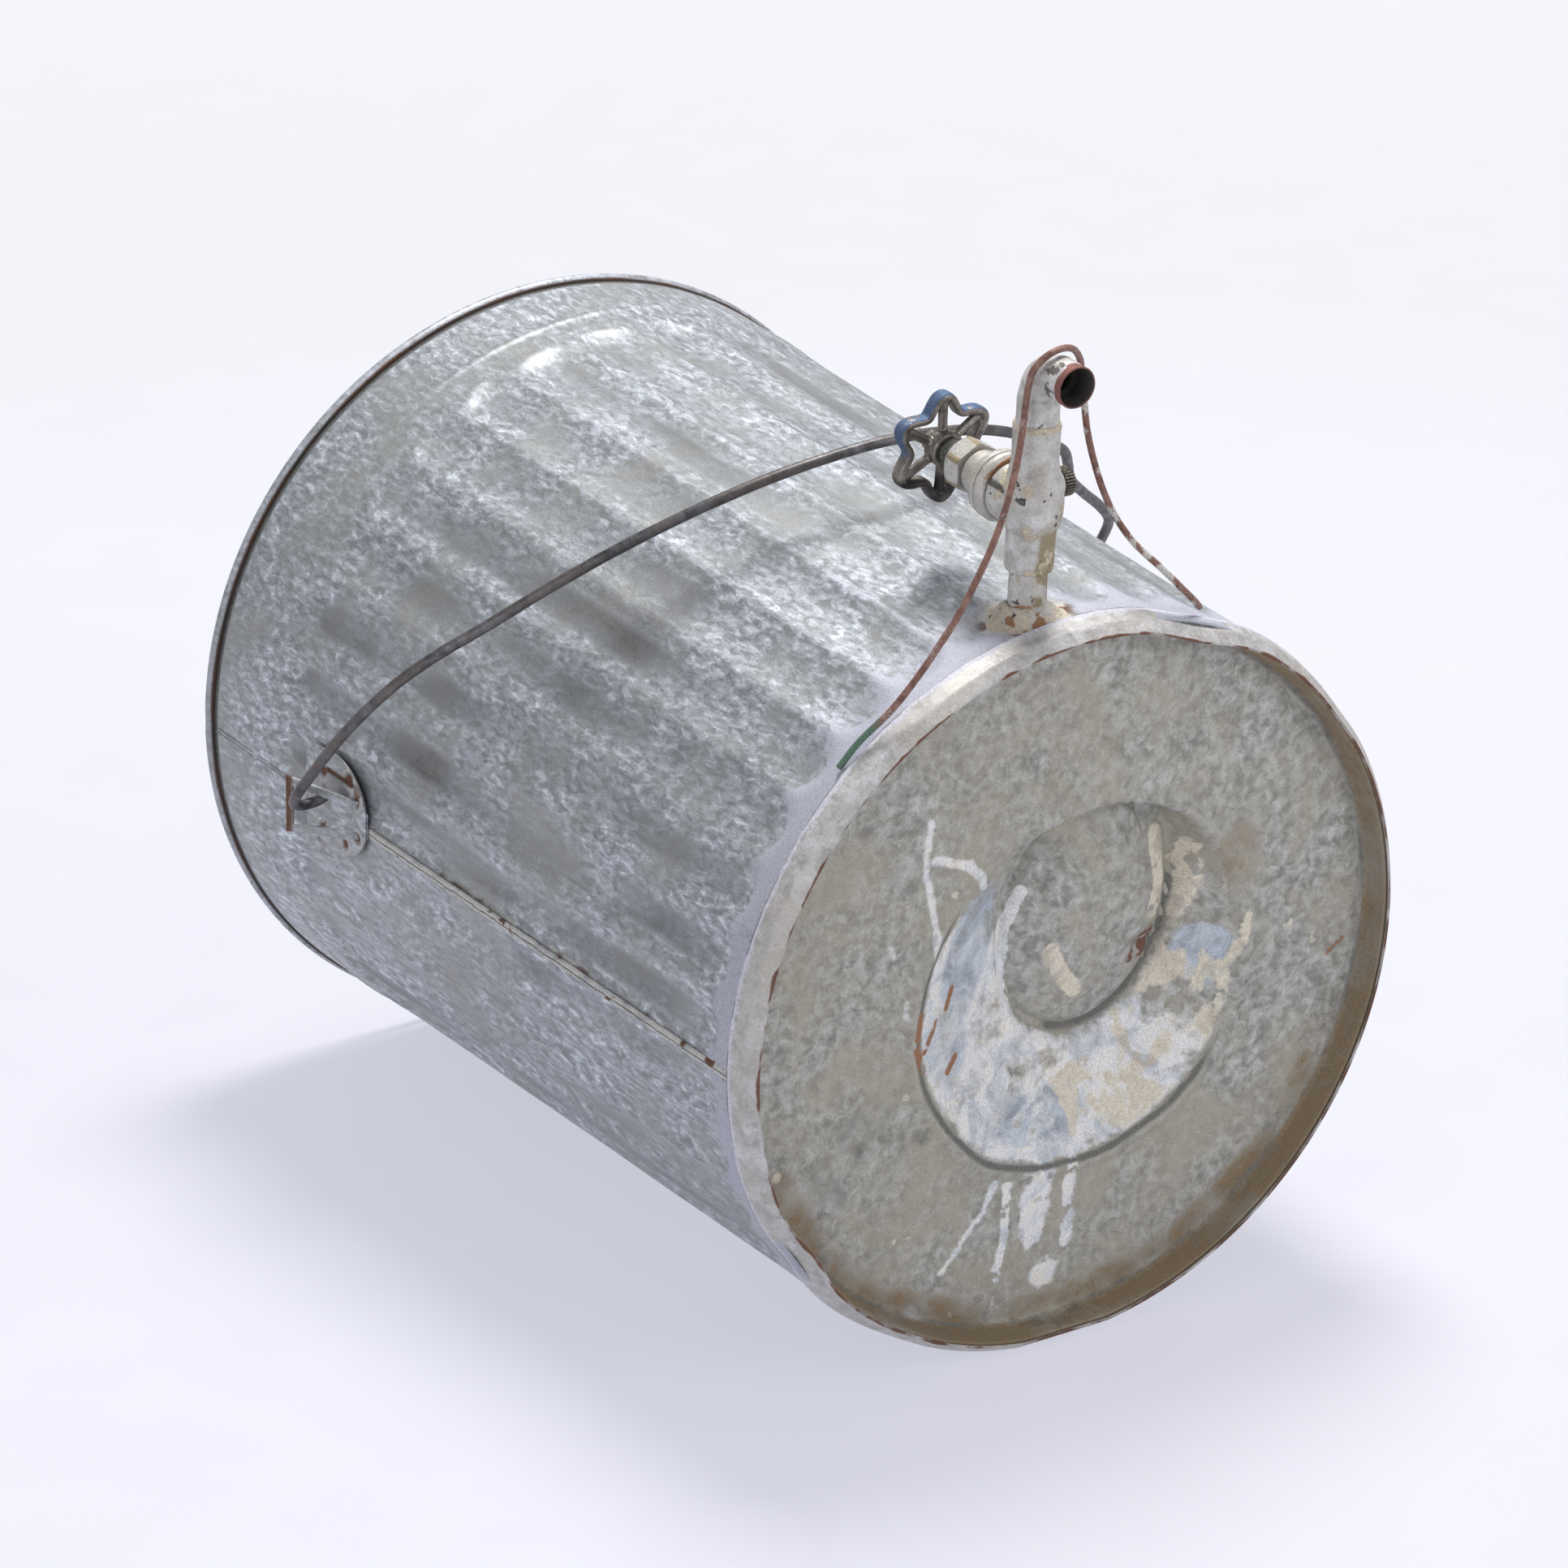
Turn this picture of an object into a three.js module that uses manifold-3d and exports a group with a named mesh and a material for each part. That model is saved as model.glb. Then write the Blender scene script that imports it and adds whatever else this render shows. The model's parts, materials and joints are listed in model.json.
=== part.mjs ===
// Farm-made poultry waterer fount: a fluted galvanised can lying on its side, with a stop-and-waste
// valve and an outlet elbow soldered into its wall. Millimetres, +Z up, open mouth towards -X.
//
// The can is built standing up in its own frame (axis +Z, base at z = 0, the valve on the +X side, the
// near ear on the -Y side), and one group then lays it down on its hoop and its rolled rim.
import * as THREE from "three";
import { mergeVertices } from "three/addons/utils/BufferGeometryUtils.js";
import Module from "manifold-3d";

const wasm = await Module();
wasm.setup();

const TAU = Math.PI * 2;
const DEG = Math.PI / 180;
const GAP = 0.3;

// Can
const CAN_HEIGHT = 433;
const WALL_RADIUS_BASE = 164;
const WALL_RADIUS_RIM = 177.7;
const SHEET = 1.2;
const WALL_BOTTOM = 7;
const WALL_TOP = 426.4;
const FLUTES = 35;
const FLUTE_DEPTH = 2.9;
const FLUTE_BOTTOM = 24;
const FLUTE_TOP = 372;
const FLUTE_END = 14;
const FLUTE_STEPS = 3;
const SEAM_ANGLE = 90.9;
const SEAM_WIDTH = 5;
const SEAM_HEIGHT = 1.1;
const TUCK = 0.8;

// Hoop, pan and rolled rim
const HOOP_RADIUS = 166.6;
const HOOP_HEIGHT = 15.5;
const HOOP_EDGE_RADIUS = 160.5;
const RING_SHEET = 1.1;
const PAN_DEPTH = 15;
const PAN_RADIUS = 161.2;
const RIM_RADIUS = 180;
const RIM_ROLL = 2.7;
const RIM_WIRE = 1;

// Flattened chords that the can lies on
const FLAT_HALF_ANGLE = 7.5;
const HOOP_FLAT = HOOP_RADIUS * (1 - Math.cos(FLAT_HALF_ANGLE * DEG));
const RIM_FLAT = RIM_RADIUS * (1 - Math.cos(FLAT_HALF_ANGLE * DEG));
const FLAT_FADE = 24;

// Ears and bail
const EAR_START = 294;
const EAR_LENGTH = 50;
const EAR_HALF_WIDTH = 24;
const EAR_SHEET = 1.3;
const EAR_ROUND_PART = 0.62;
const EAR_END_NARROWING = 0.25;
const TONGUE_ROOT = 301;
const TONGUE_LENGTH = 37.5;
const TONGUE_SLOPE = 29;
const TONGUE_SHEET = 1.5;
const TONGUE_ROOT_HALF = 9;
const TONGUE_END_HALF = 13.5;
const TONGUE_END_BAR = 3.6;
const WINDOW_START = 15;
const WINDOW_ROOT_HALF = 6.6;
const WINDOW_END_HALF = 9.4;
const PIVOT_HEIGHT = 322.5;
const PIVOT_OFFSET = 3;
const BAIL_WIRE = 2.4;
const BAIL_TILT = 41.4;

// Valve, measured up the pipe from the wall
const VALVE_HEIGHT = 29.6;
const VALVE_ANGLE = 5.84;
const VALVE_LEAN = 0.8;
const VALVE_TIP = 0.77;
const TUBE_RADIUS = 7.94;
const TUBE_BORE = 6.9;
const SOCKET_BOTTOM = 21.2;
const SOCKET_TOP = 84;
const SEAT_LEVEL = 49;
const DRAIN_LEVEL = 56.2;
const DRAIN_FACE = 12;
const CUP_DEPTH = 12.7;
const ELBOW_RADIUS = 8.9;
const OUTLET_LEVEL = 109.4;
const ELBOW_BEND = 12.4;
const WHEEL_DISTANCE = 65.7;
const WHEEL_RADIUS = 24.6;
const BRACE_WIRE = 1.4;

const model = new THREE.Group();
const can = new THREE.Group();
const valve = new THREE.Group();
can.add(valve);
model.add(can);

const materials = {
  galvanised: new THREE.MeshStandardMaterial({ color: 0x8f959a, roughness: 0.5, metalness: 0.8 }),
  painted: new THREE.MeshStandardMaterial({ color: 0xb3afa8, roughness: 0.45, metalness: 0.6 }),
  pan: new THREE.MeshStandardMaterial({ color: 0x8d8a80, roughness: 0.7, metalness: 0.4 }),
  bail: new THREE.MeshStandardMaterial({ color: 0x4a4546, roughness: 0.55, metalness: 0.7 }),
  rust: new THREE.MeshStandardMaterial({ color: 0x6f5049, roughness: 0.75, metalness: 0.4 }),
  wheel: new THREE.MeshStandardMaterial({ color: 0x7d756d, roughness: 0.5, metalness: 0.7 }),
  brass: new THREE.MeshStandardMaterial({ color: 0x8a7347, roughness: 0.4, metalness: 0.9 }),
  bronze: new THREE.MeshStandardMaterial({ color: 0x3d3830, roughness: 0.5, metalness: 0.8 }),
  copper: new THREE.MeshStandardMaterial({ color: 0x7b5648, roughness: 0.5, metalness: 0.8 }),
  rubber: new THREE.MeshStandardMaterial({ color: 0x202020, roughness: 0.9, metalness: 0 }),
};

// ---- Helpers ----

function addMesh(name, geometry, material, parent) {
  const mesh = new THREE.Mesh(geometry, materials[material]);
  mesh.name = name;
  parent.add(mesh);
  return mesh;
}

function signedVolume(geometry) {
  const p = geometry.attributes.position;
  const index = geometry.index.array;
  const a = new THREE.Vector3();
  const b = new THREE.Vector3();
  const c = new THREE.Vector3();
  let volume = 0;
  for (let i = 0; i < index.length; i += 3) {
    a.fromBufferAttribute(p, index[i]);
    b.fromBufferAttribute(p, index[i + 1]);
    c.fromBufferAttribute(p, index[i + 2]);
    volume += a.dot(b.cross(c)) / 6;
  }
  return volume;
}

// One closed body with shared vertices and its faces pointing out.
function closed(source) {
  let geometry = source.clone();
  geometry.deleteAttribute("normal");
  geometry.deleteAttribute("uv");
  geometry = mergeVertices(geometry, 1e-4);
  const kept = [];
  const index = geometry.index.array;
  for (let i = 0; i < index.length; i += 3) {
    const [a, b, c] = [index[i], index[i + 1], index[i + 2]];
    if (a !== b && b !== c && c !== a) kept.push(a, b, c);
  }
  geometry.setIndex(kept);
  if (signedVolume(geometry) < 0) {
    for (let i = 0; i < kept.length; i += 3) [kept[i + 1], kept[i + 2]] = [kept[i + 2], kept[i + 1]];
    geometry.setIndex(kept);
  }
  return geometry;
}

function solid(source) {
  const geometry = closed(source);
  const vertProperties = new Float32Array(geometry.attributes.position.array);
  const triVerts = new Uint32Array(geometry.index.array);
  return new wasm.Manifold(new wasm.Mesh({ numProp: 3, vertProperties, triVerts }));
}

function fromSolid(manifold) {
  const mesh = manifold.getMesh();
  const geometry = new THREE.BufferGeometry();
  geometry.setAttribute("position", new THREE.BufferAttribute(new Float32Array(mesh.vertProperties), 3));
  geometry.setIndex(Array.from(mesh.triVerts));
  return geometry;
}

// A solid of revolution about +Z: the profile is a closed list of [radius, height].
function turned(profile, segments = 48, start = 0) {
  const points = profile.map(([r, z]) => new THREE.Vector2(r, z));
  if (profile[0][0] > 0) points.push(points[0].clone());
  const geometry = new THREE.LatheGeometry(points, segments, start);
  geometry.rotateX(Math.PI / 2);
  return closed(geometry);
}

function rod(radius, from, to, segments = 24) {
  return turned([[0, from], [radius, from], [radius, to], [0, to]], segments);
}

// Turns a piece made along +Z so that it points along another axis.
function along(geometry, axis) {
  const copy = geometry.clone();
  if (axis === "x") copy.rotateY(Math.PI / 2);
  if (axis === "-x") copy.rotateY(-Math.PI / 2);
  if (axis === "y") copy.rotateX(-Math.PI / 2);
  return copy;
}

// Each stretch between two points gets the same number of steps, so tight bends stay round.
function tube(points, radius, sides, stepsEach) {
  const outline = new THREE.Shape();
  for (let i = 0; i < sides; i++) {
    const x = radius * Math.cos((TAU * i) / sides);
    const y = radius * Math.sin((TAU * i) / sides);
    if (i === 0) outline.moveTo(x, y);
    else outline.lineTo(x, y);
  }
  outline.closePath();
  const path = new THREE.CatmullRomCurve3(points.map((p) => new THREE.Vector3(...p)), false, "centripetal");
  path.getUtoTmapping = (u) => u;
  const steps = (points.length - 1) * stepsEach;
  return closed(new THREE.ExtrudeGeometry(outline, { extrudePath: path, steps, curveSegments: 1 }));
}

// A closed skin between an outer and an inner grid; wrap closes it round, otherwise its sides are capped.
function skin(rows, columns, outer, inner, wrap) {
  const positions = [];
  const index = [];
  const across = wrap ? columns : columns + 1;
  for (const surface of [outer, inner]) {
    for (let i = 0; i <= rows; i++) {
      for (let j = 0; j < across; j++) positions.push(...surface(i, j));
    }
  }
  const at = (side, i, j) => (side * (rows + 1) + i) * across + (wrap ? j % columns : j);
  const quad = (a, b, c, d) => index.push(a, b, c, a, c, d);
  for (let i = 0; i < rows; i++) {
    for (let j = 0; j < columns; j++) {
      quad(at(0, i, j), at(0, i, j + 1), at(0, i + 1, j + 1), at(0, i + 1, j));
      quad(at(1, i, j), at(1, i + 1, j), at(1, i + 1, j + 1), at(1, i, j + 1));
    }
  }
  for (let j = 0; j < columns; j++) {
    quad(at(0, 0, j), at(1, 0, j), at(1, 0, j + 1), at(0, 0, j + 1));
    quad(at(0, rows, j), at(0, rows, j + 1), at(1, rows, j + 1), at(1, rows, j));
  }
  for (let i = 0; !wrap && i < rows; i++) {
    quad(at(0, i, 0), at(0, i + 1, 0), at(1, i + 1, 0), at(1, i, 0));
    quad(at(0, i, columns), at(1, i, columns), at(1, i + 1, columns), at(0, i + 1, columns));
  }
  const geometry = new THREE.BufferGeometry();
  geometry.setAttribute("position", new THREE.Float32BufferAttribute(positions, 3));
  geometry.setIndex(index);
  return closed(geometry);
}

// ---- Can shape ----

const smooth = (t) => {
  const u = Math.min(1, Math.max(0, t));
  return u * u * (3 - 2 * u);
};

const wallRadius = (z) => WALL_RADIUS_BASE + ((WALL_RADIUS_RIM - WALL_RADIUS_BASE) * z) / CAN_HEIGHT;

// Angles run from the valve side (+X) towards the near ear (-Y), in degrees.
const place = (radius, angle, z) => [radius * Math.cos(angle * DEG), -radius * Math.sin(angle * DEG), z];

// How far the ring is pushed in where the can lies on the ground, opposite the valve.
function restFlat(angle, z) {
  const off = Math.cos((angle - 180) * DEG);
  if (off < 0.9) return 0;
  if (z < CAN_HEIGHT / 2) {
    const fade = 1 - smooth((z - HOOP_HEIGHT) / FLAT_FADE);
    return Math.max(0, HOOP_RADIUS - (HOOP_RADIUS - HOOP_FLAT) / off) * fade;
  }
  const fade = smooth((z - (WALL_TOP - FLAT_FADE)) / FLAT_FADE);
  return Math.max(0, RIM_RADIUS - (RIM_RADIUS - RIM_FLAT) / off) * fade;
}

function fluteDepth(angle, z) {
  const pitch = 360 / FLUTES;
  const turns = (angle - SEAM_ANGLE) / pitch;
  const offset = Math.abs(turns - Math.floor(turns) - 0.5) * 2;
  const fromEnd = Math.min(z - FLUTE_BOTTOM, FLUTE_TOP - z);
  if (fromEnd <= 0) return 0;
  return FLUTE_DEPTH * smooth(fromEnd / FLUTE_END) * (1 - offset * offset);
}

function canWall() {
  const heights = [
    WALL_BOTTOM, 16.5, FLUTE_BOTTOM, FLUTE_BOTTOM + FLUTE_END,
    FLUTE_TOP - FLUTE_END, FLUTE_TOP, 402, WALL_TOP,
  ];
  const columns = FLUTES * FLUTE_STEPS;
  const surface = (inset) => (i, j) => {
    const z = heights[i];
    const angle = SEAM_ANGLE + (360 * j) / columns;
    const tuck = i === 0 ? TUCK : 0;
    return place(wallRadius(z) - tuck - inset - fluteDepth(angle, z) - restFlat(angle, z), angle, z);
  };
  return skin(heights.length - 1, columns, surface(0), surface(SHEET), true);
}

// Lets a turned ring follow the flattened chord.
function flattened(geometry) {
  const p = geometry.attributes.position;
  for (let i = 0; i < p.count; i++) {
    const [x, y, z] = [p.getX(i), p.getY(i), p.getZ(i)];
    const radius = Math.hypot(x, y);
    if (radius < PAN_RADIUS - 8) continue;
    const angle = Math.atan2(-y, x) / DEG;
    const scale = (radius - restFlat(angle, z)) / radius;
    p.setXY(i, x * scale, y * scale);
  }
  return geometry;
}

// ---- Can pieces ----

// The rings have corners at both ends of the flattened chord.
const RING_SEGMENTS = 72;
const ring = (profile) => flattened(turned(profile, RING_SEGMENTS, 2.5 * DEG));

const nippleHole = rod(TUBE_RADIUS + GAP, -30, 30);
const wallSolid = solid(canWall());

function rolledRim() {
  const centre = [RIM_RADIUS - RIM_ROLL, CAN_HEIGHT - RIM_ROLL];
  const profile = [];
  const turnsOut = [-110, -50, 0, 70, 145];
  for (const a of turnsOut) {
    profile.push([centre[0] + RIM_ROLL * Math.cos(a * DEG), centre[1] + RIM_ROLL * Math.sin(a * DEG)]);
  }
  const inner = RIM_WIRE + 2 * GAP;
  for (const a of [...turnsOut].reverse()) {
    profile.push([centre[0] + inner * Math.cos(a * DEG), centre[1] + inner * Math.sin(a * DEG)]);
  }
  return ring(profile);
}

function rimWire() {
  const centre = [RIM_RADIUS - RIM_ROLL, CAN_HEIGHT - RIM_ROLL];
  const profile = [];
  const sides = 5;
  for (let i = 0; i < sides; i++) {
    const a = (TAU * i) / sides;
    profile.push([centre[0] + RIM_WIRE * Math.cos(a), centre[1] + RIM_WIRE * Math.sin(a)]);
  }
  return ring(profile);
}

function baseHoop() {
  const outer = [[HOOP_EDGE_RADIUS, 0], [HOOP_EDGE_RADIUS + 4.4, 6], [HOOP_RADIUS, HOOP_HEIGHT]];
  const inner = outer.map(([r, z], i) => [r - RING_SHEET, i === 0 ? 0.6 : z]).reverse();
  return ring([...outer, ...inner]);
}

function bottomPan() {
  const top = PAN_DEPTH + RING_SHEET;
  const inside = PAN_RADIUS - RING_SHEET;
  const profile = [
    [0, PAN_DEPTH], [PAN_RADIUS - 6, PAN_DEPTH], [inside, PAN_DEPTH - 4], [inside - 2, 2],
    [PAN_RADIUS - 2, 2], [PAN_RADIUS, PAN_DEPTH - 3], [PAN_RADIUS - 5.6, top], [0, top],
  ];
  return ring(profile);
}

function seamStrip(from, to) {
  const half = SEAM_WIDTH / 2;
  const rows = 2;
  const surface = (lift) => (i, j) => {
    const z = from + ((to - from) * i) / rows;
    const radius = wallRadius(z) + lift;
    return place(radius, SEAM_ANGLE + ((j - 1) * half) / radius / DEG, z);
  };
  return skin(rows, 2, surface(GAP + SEAM_HEIGHT), surface(GAP), false);
}

// A D-shaped plate bent to the wall, with a tongue bent out of it and a window in the tongue.
function ear() {
  const rows = 8;
  const columns = 10;
  const plate = skin(rows, columns, surfaceAt(GAP + EAR_SHEET), surfaceAt(GAP), false);
  function surfaceAt(lift) {
    return (i, j) => {
      const t = i / rows;
      const z = EAR_START + EAR_LENGTH * (1 - Math.cos((t * Math.PI) / 2) * 0.999);
      const round = Math.sqrt(1 - (1 - Math.min(1, (z - EAR_START) / (EAR_LENGTH * EAR_ROUND_PART))) ** 2);
      const narrowing = 1 - EAR_END_NARROWING * Math.max(0, t - 0.7);
      const half = EAR_HALF_WIDTH * Math.max(0.25, round) * narrowing;
      const radius = wallRadius(z) + lift;
      return place(radius, (half * ((2 * j) / columns - 1)) / radius / DEG, z);
    };
  }
  const flat = (corners) => corners.map(([x, y]) => new THREE.Vector2(x, y));
  const tongue = new THREE.Shape(flat([
    [-TONGUE_ROOT_HALF, 0], [TONGUE_ROOT_HALF, 0],
    [TONGUE_END_HALF, TONGUE_LENGTH], [-TONGUE_END_HALF, TONGUE_LENGTH],
  ]));
  const windowEnd = TONGUE_LENGTH - TONGUE_END_BAR;
  tongue.holes.push(new THREE.Path(flat([
    [-WINDOW_ROOT_HALF, WINDOW_START], [-WINDOW_END_HALF, windowEnd],
    [WINDOW_END_HALF, windowEnd], [WINDOW_ROOT_HALF, WINDOW_START],
  ])));
  const frame = new THREE.ExtrudeGeometry(tongue, { depth: TONGUE_SHEET, bevelEnabled: false });
  const slope = TONGUE_SLOPE * DEG;
  const acrossDir = new THREE.Vector3(0, 1, 0);
  const lengthDir = new THREE.Vector3(Math.sin(slope), 0, Math.cos(slope));
  const normal = new THREE.Vector3().crossVectors(acrossDir, lengthDir);
  const matrix = new THREE.Matrix4().makeBasis(acrossDir, lengthDir, normal);
  matrix.setPosition(wallRadius(TONGUE_ROOT) + GAP + 0.2, 0, TONGUE_ROOT);
  frame.applyMatrix4(matrix);
  return fromSolid(solid(plate).add(solid(frame)));
}

// Each side of the bail from the hooked tip to the crown, as [distance from the pivot, half width].
// The far side is bent in a little.
const BAIL_HOOK = [
  [7, 180.4], [3.2, 181.4], [0.4, 185], [0.2, 190.5], [3.5, 195.2], [10, 197.4], [34, 197.6],
  [66, 196.2], [98, 190.5], [116, 184.6],
];
const BAIL_NEAR = [...BAIL_HOOK, [134, 174.4], [155, 156.5], [180, 137], [208, 110], [233, 76], [249, 41]];
const BAIL_FAR = [
  ...BAIL_HOOK, [134, 170.5], [154, 151], [173, 134], [191, 123.5], [207, 112.5], [236, 72], [250, 41],
];
const BAIL_CROWN = 256.5;

function bailWire() {
  const near = BAIL_NEAR.map(([distance, width]) => [distance, -width, 0]);
  const far = BAIL_FAR.map(([distance, width]) => [distance, width, 0]).reverse();
  return tube([...near, [BAIL_CROWN, 0, 0], ...far], BAIL_WIRE, 8, 2);
}

// Brace wire: from beside the hoop, over the elbow and back down on the far side, as [up from the
// can's axis, across, along from the base].
const BRACE_ROUTE = [
  [121.5, -113.8, 18.8], [131.8, -106.6, 16.2], [145.5, -94.5, 11], [158, -84, 9], [172, -74, 7.2],
  [182, -67.5, 6], [195, -60, 5.5], [208.5, -51, 7.4], [222.5, -43, 10.2], [237.5, -36, 14],
  [251, -31.2, 17.4], [261.5, -29.7, 18], [269.5, -29.3, 17.2], [275.5, -28.7, 15.8], [280.5, -26.6, 13.5],
  [284, -22, 12], [284.5, -16.3, 12.5], [282.6, -10.6, 15], [279, -5.6, 18.6], [273.7, -1.3, 21.5],
  [263.2, 2.4, 24.5], [250.7, 6, 27], [238.6, 9, 28.2], [222.6, 13.5, 27.5], [208.7, 19, 26.8],
  [198, 24.5, 25.4], [188, 31, 21.5], [178.5, 39.5, 15.5], [167.5, 49.5, 11.5], [159.8, 57.9, 15],
  [154.4, 63.8, 19.2],
];

// ---- Valve pieces, along +Z up the pipe, bonnet towards -X, outlet towards +X, drain towards +Y ----

function pipeNipple() {
  const inside = -14;
  const top = SOCKET_BOTTOM + CUP_DEPTH - 0.5;
  return turned([[TUBE_BORE, inside], [TUBE_RADIUS, inside], [TUBE_RADIUS, top], [TUBE_BORE, top]], 32);
}

function valveBody() {
  const shell = turned([
    [0, SOCKET_BOTTOM], [10.1, SOCKET_BOTTOM], [10.3, 38], [11.6, 41.5], [12.5, 46], [12.6, 51], [12, 58],
    [10.4, 65], [9.8, 69], [9.8, SOCKET_TOP], [0, SOCKET_TOP],
  ], 28);
  const bonnetBoss = onBonnet(rod(12.6, 0, 16, 28));
  const drainBoss = onDrain(rod(6.2, 0, DRAIN_FACE, 24));
  const bore = (radius, from, to) => solid(rod(radius, from, to, 24));
  const sideBore = (radius, from, to) => {
    return solid(along(rod(radius, from, to, 24), "x").translate(0, 0, SEAT_LEVEL));
  };
  const drainBore = onDrain(rod(1.6, -4, 13, 12));
  const drainFace = onDrain(rod(7, DRAIN_FACE, 16, 24));
  const inlet = rod(3.2, 30, SEAT_LEVEL - 1, 16).translate(6.4, 0, 0);
  return fromSolid(
    solid(shell).add(solid(bonnetBoss)).add(solid(drainBoss))
      .subtract(bore(TUBE_RADIUS + GAP, SOCKET_BOTTOM - 1, SOCKET_BOTTOM + CUP_DEPTH))
      .subtract(bore(TUBE_RADIUS + GAP, SOCKET_TOP - CUP_DEPTH, SOCKET_TOP + 1))
      .subtract(sideBore(9.2, -17, 1))
      .subtract(sideBore(4.2, 0, 8.6))
      .subtract(solid(inlet))
      .subtract(bore(5, 54, SOCKET_TOP - CUP_DEPTH + 1).translate(-3, 0, 0))
      .subtract(solid(drainBore))
      .subtract(solid(drainFace)),
  );
}

// Pieces on the bonnet's axis are made along +Z with 0 at the pipe's axis, then turned to -X.
function onBonnet(geometry) {
  const matrix = new THREE.Matrix4().makeRotationY(-Math.PI / 2).setPosition(0, 0, SEAT_LEVEL);
  return geometry.clone().applyMatrix4(matrix);
}

const STEM = 3;

function bonnet() {
  return onBonnet(turned([
    [8.2, 7], [8.9, 7], [8.9, 16.3], [13.4, 16.3], [15, 18.5], [15, 20.6], [14.3, 21.4], [15, 22.2],
    [14.4, 26], [9.5, 26.4], [9.5, 37], [6, 37], [6, 29.5], [STEM + GAP, 29.5], [STEM + GAP, 19], [7, 15],
    [8.2, 14],
  ], 28));
}

function stemPacking() {
  return onBonnet(turned([[STEM + GAP, 30], [5.7, 30], [5.7, 36.6], [STEM + GAP, 36.6]], 24));
}

function packingNut() {
  const hex = new THREE.CylinderGeometry(12.1, 12.1, 9.6, 6).rotateX(Math.PI / 2).translate(0, 0, 43.2);
  const chamfer = turned([[0, 37.2], [11.4, 37.2], [12.3, 39], [12.3, 46], [10.6, 48.4], [0, 48.4]], 36);
  const neck = rod(5.9, 46, 58.4, 32);
  const bore = rod(STEM + GAP, 30, 70, 24);
  const thread = rod(9.8, 30, 38.4, 32);
  const outside = solid(hex).intersect(solid(chamfer)).add(solid(neck));
  return onBonnet(fromSolid(outside.subtract(solid(bore)).subtract(solid(thread))));
}

function valveStem() {
  return onBonnet(turned([
    [0, 4.6], [2.4, 4.6], [2.4, 9.2], [STEM, 9.6], [STEM, 70.4], [2.2, 70.8], [2.2, 73.4], [0, 73.4],
  ], 24));
}

function discHolder() {
  return onBonnet(turned([[2.7, 4], [6, 4], [6, 6.4], [4.4, 8.8], [2.7, 8.8]], 24));
}

function discWasher() {
  return onBonnet(turned([[1.7, 1.3], [5.8, 1.3], [5.8, 3.7], [1.7, 3.7]], 24));
}

function discScrew() {
  return onBonnet(turned([[0, 0.2], [2.8, 0.2], [2.8, 1], [1.4, 1], [1.4, 4.2], [0, 4.2]], 20));
}

// The wheel's edge is a wavy band with six lobes, joined to the hub by a spoke to each lobe.
function wheelEdge(offset) {
  const outline = new THREE.Shape();
  const steps = 48;
  for (let i = 0; i < steps; i++) {
    const a = (TAU * i) / steps;
    const lobe = 0.5 + 0.5 * Math.cos(6 * a);
    const radius = WHEEL_RADIUS - 6.6 * (1 - lobe ** 0.8) + offset;
    if (i === 0) outline.moveTo(radius * Math.cos(a), radius * Math.sin(a));
    else outline.lineTo(radius * Math.cos(a), radius * Math.sin(a));
  }
  outline.closePath();
  return outline;
}

function handwheel() {
  const depth = 7;
  const edgeWidth = 3;
  const prism = (outline, height) => {
    return new THREE.ExtrudeGeometry(outline, { depth: height, bevelEnabled: false });
  };
  const inside = prism(wheelEdge(-edgeWidth), depth + 2).translate(0, 0, -1);
  let wheel = solid(prism(wheelEdge(0), depth)).subtract(solid(inside));
  for (let i = 0; i < 6; i++) {
    const spoke = new THREE.BoxGeometry(17.5, 3.4, 3.4).translate(14, 0, 3.6).rotateZ((i * TAU) / 6);
    wheel = wheel.add(solid(spoke));
  }
  const hub = turned([[0, -3], [7.8, -3], [7.8, 4.6], [6.4, 6.4], [0, 6.4]], 32);
  const bore = rod(STEM + GAP, -5, 9, 24);
  wheel = wheel.add(solid(hub)).subtract(solid(bore)).subtract(solid(rod(6.4, -5, -1.6, 32)));
  return onBonnet(fromSolid(wheel).translate(0, 0, WHEEL_DISTANCE - 3.5));
}

function wheelNut() {
  const nut = new THREE.CylinderGeometry(4.6, 4.6, 2.4, 6).rotateX(Math.PI / 2).translate(0, 0, 72.2);
  return onBonnet(fromSolid(solid(nut).subtract(solid(rod(2.5, 60, 80, 20)))));
}

function onDrain(geometry) {
  const matrix = new THREE.Matrix4().makeRotationX(-Math.PI / 2).setPosition(0, 0, DRAIN_LEVEL);
  return geometry.clone().applyMatrix4(matrix);
}

function drainSeal() {
  return onDrain(rod(3.6, 12.3, 13.1, 20));
}

function drainCap() {
  const outline = new THREE.Shape();
  const knurls = 18;
  for (let i = 0; i < knurls * 2; i++) {
    const radius = i % 2 ? 5.9 : 6.3;
    const a = (Math.PI * i) / knurls;
    if (i === 0) outline.moveTo(radius, 0);
    else outline.lineTo(radius * Math.cos(a), radius * Math.sin(a));
  }
  outline.closePath();
  const knurled = new THREE.ExtrudeGeometry(outline, { depth: 5, bevelEnabled: false }).translate(0, 0, 12.3);
  const recess = rod(4, 12, 13.4, 20);
  return onDrain(fromSolid(solid(knurled).subtract(solid(recess))));
}

function outletNipple() {
  const from = SOCKET_TOP - CUP_DEPTH + 0.5;
  const to = OUTLET_LEVEL - ELBOW_BEND - 0.5;
  return turned([[TUBE_BORE, from], [TUBE_RADIUS, from], [TUBE_RADIUS, to], [TUBE_BORE, to]], 32);
}

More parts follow.
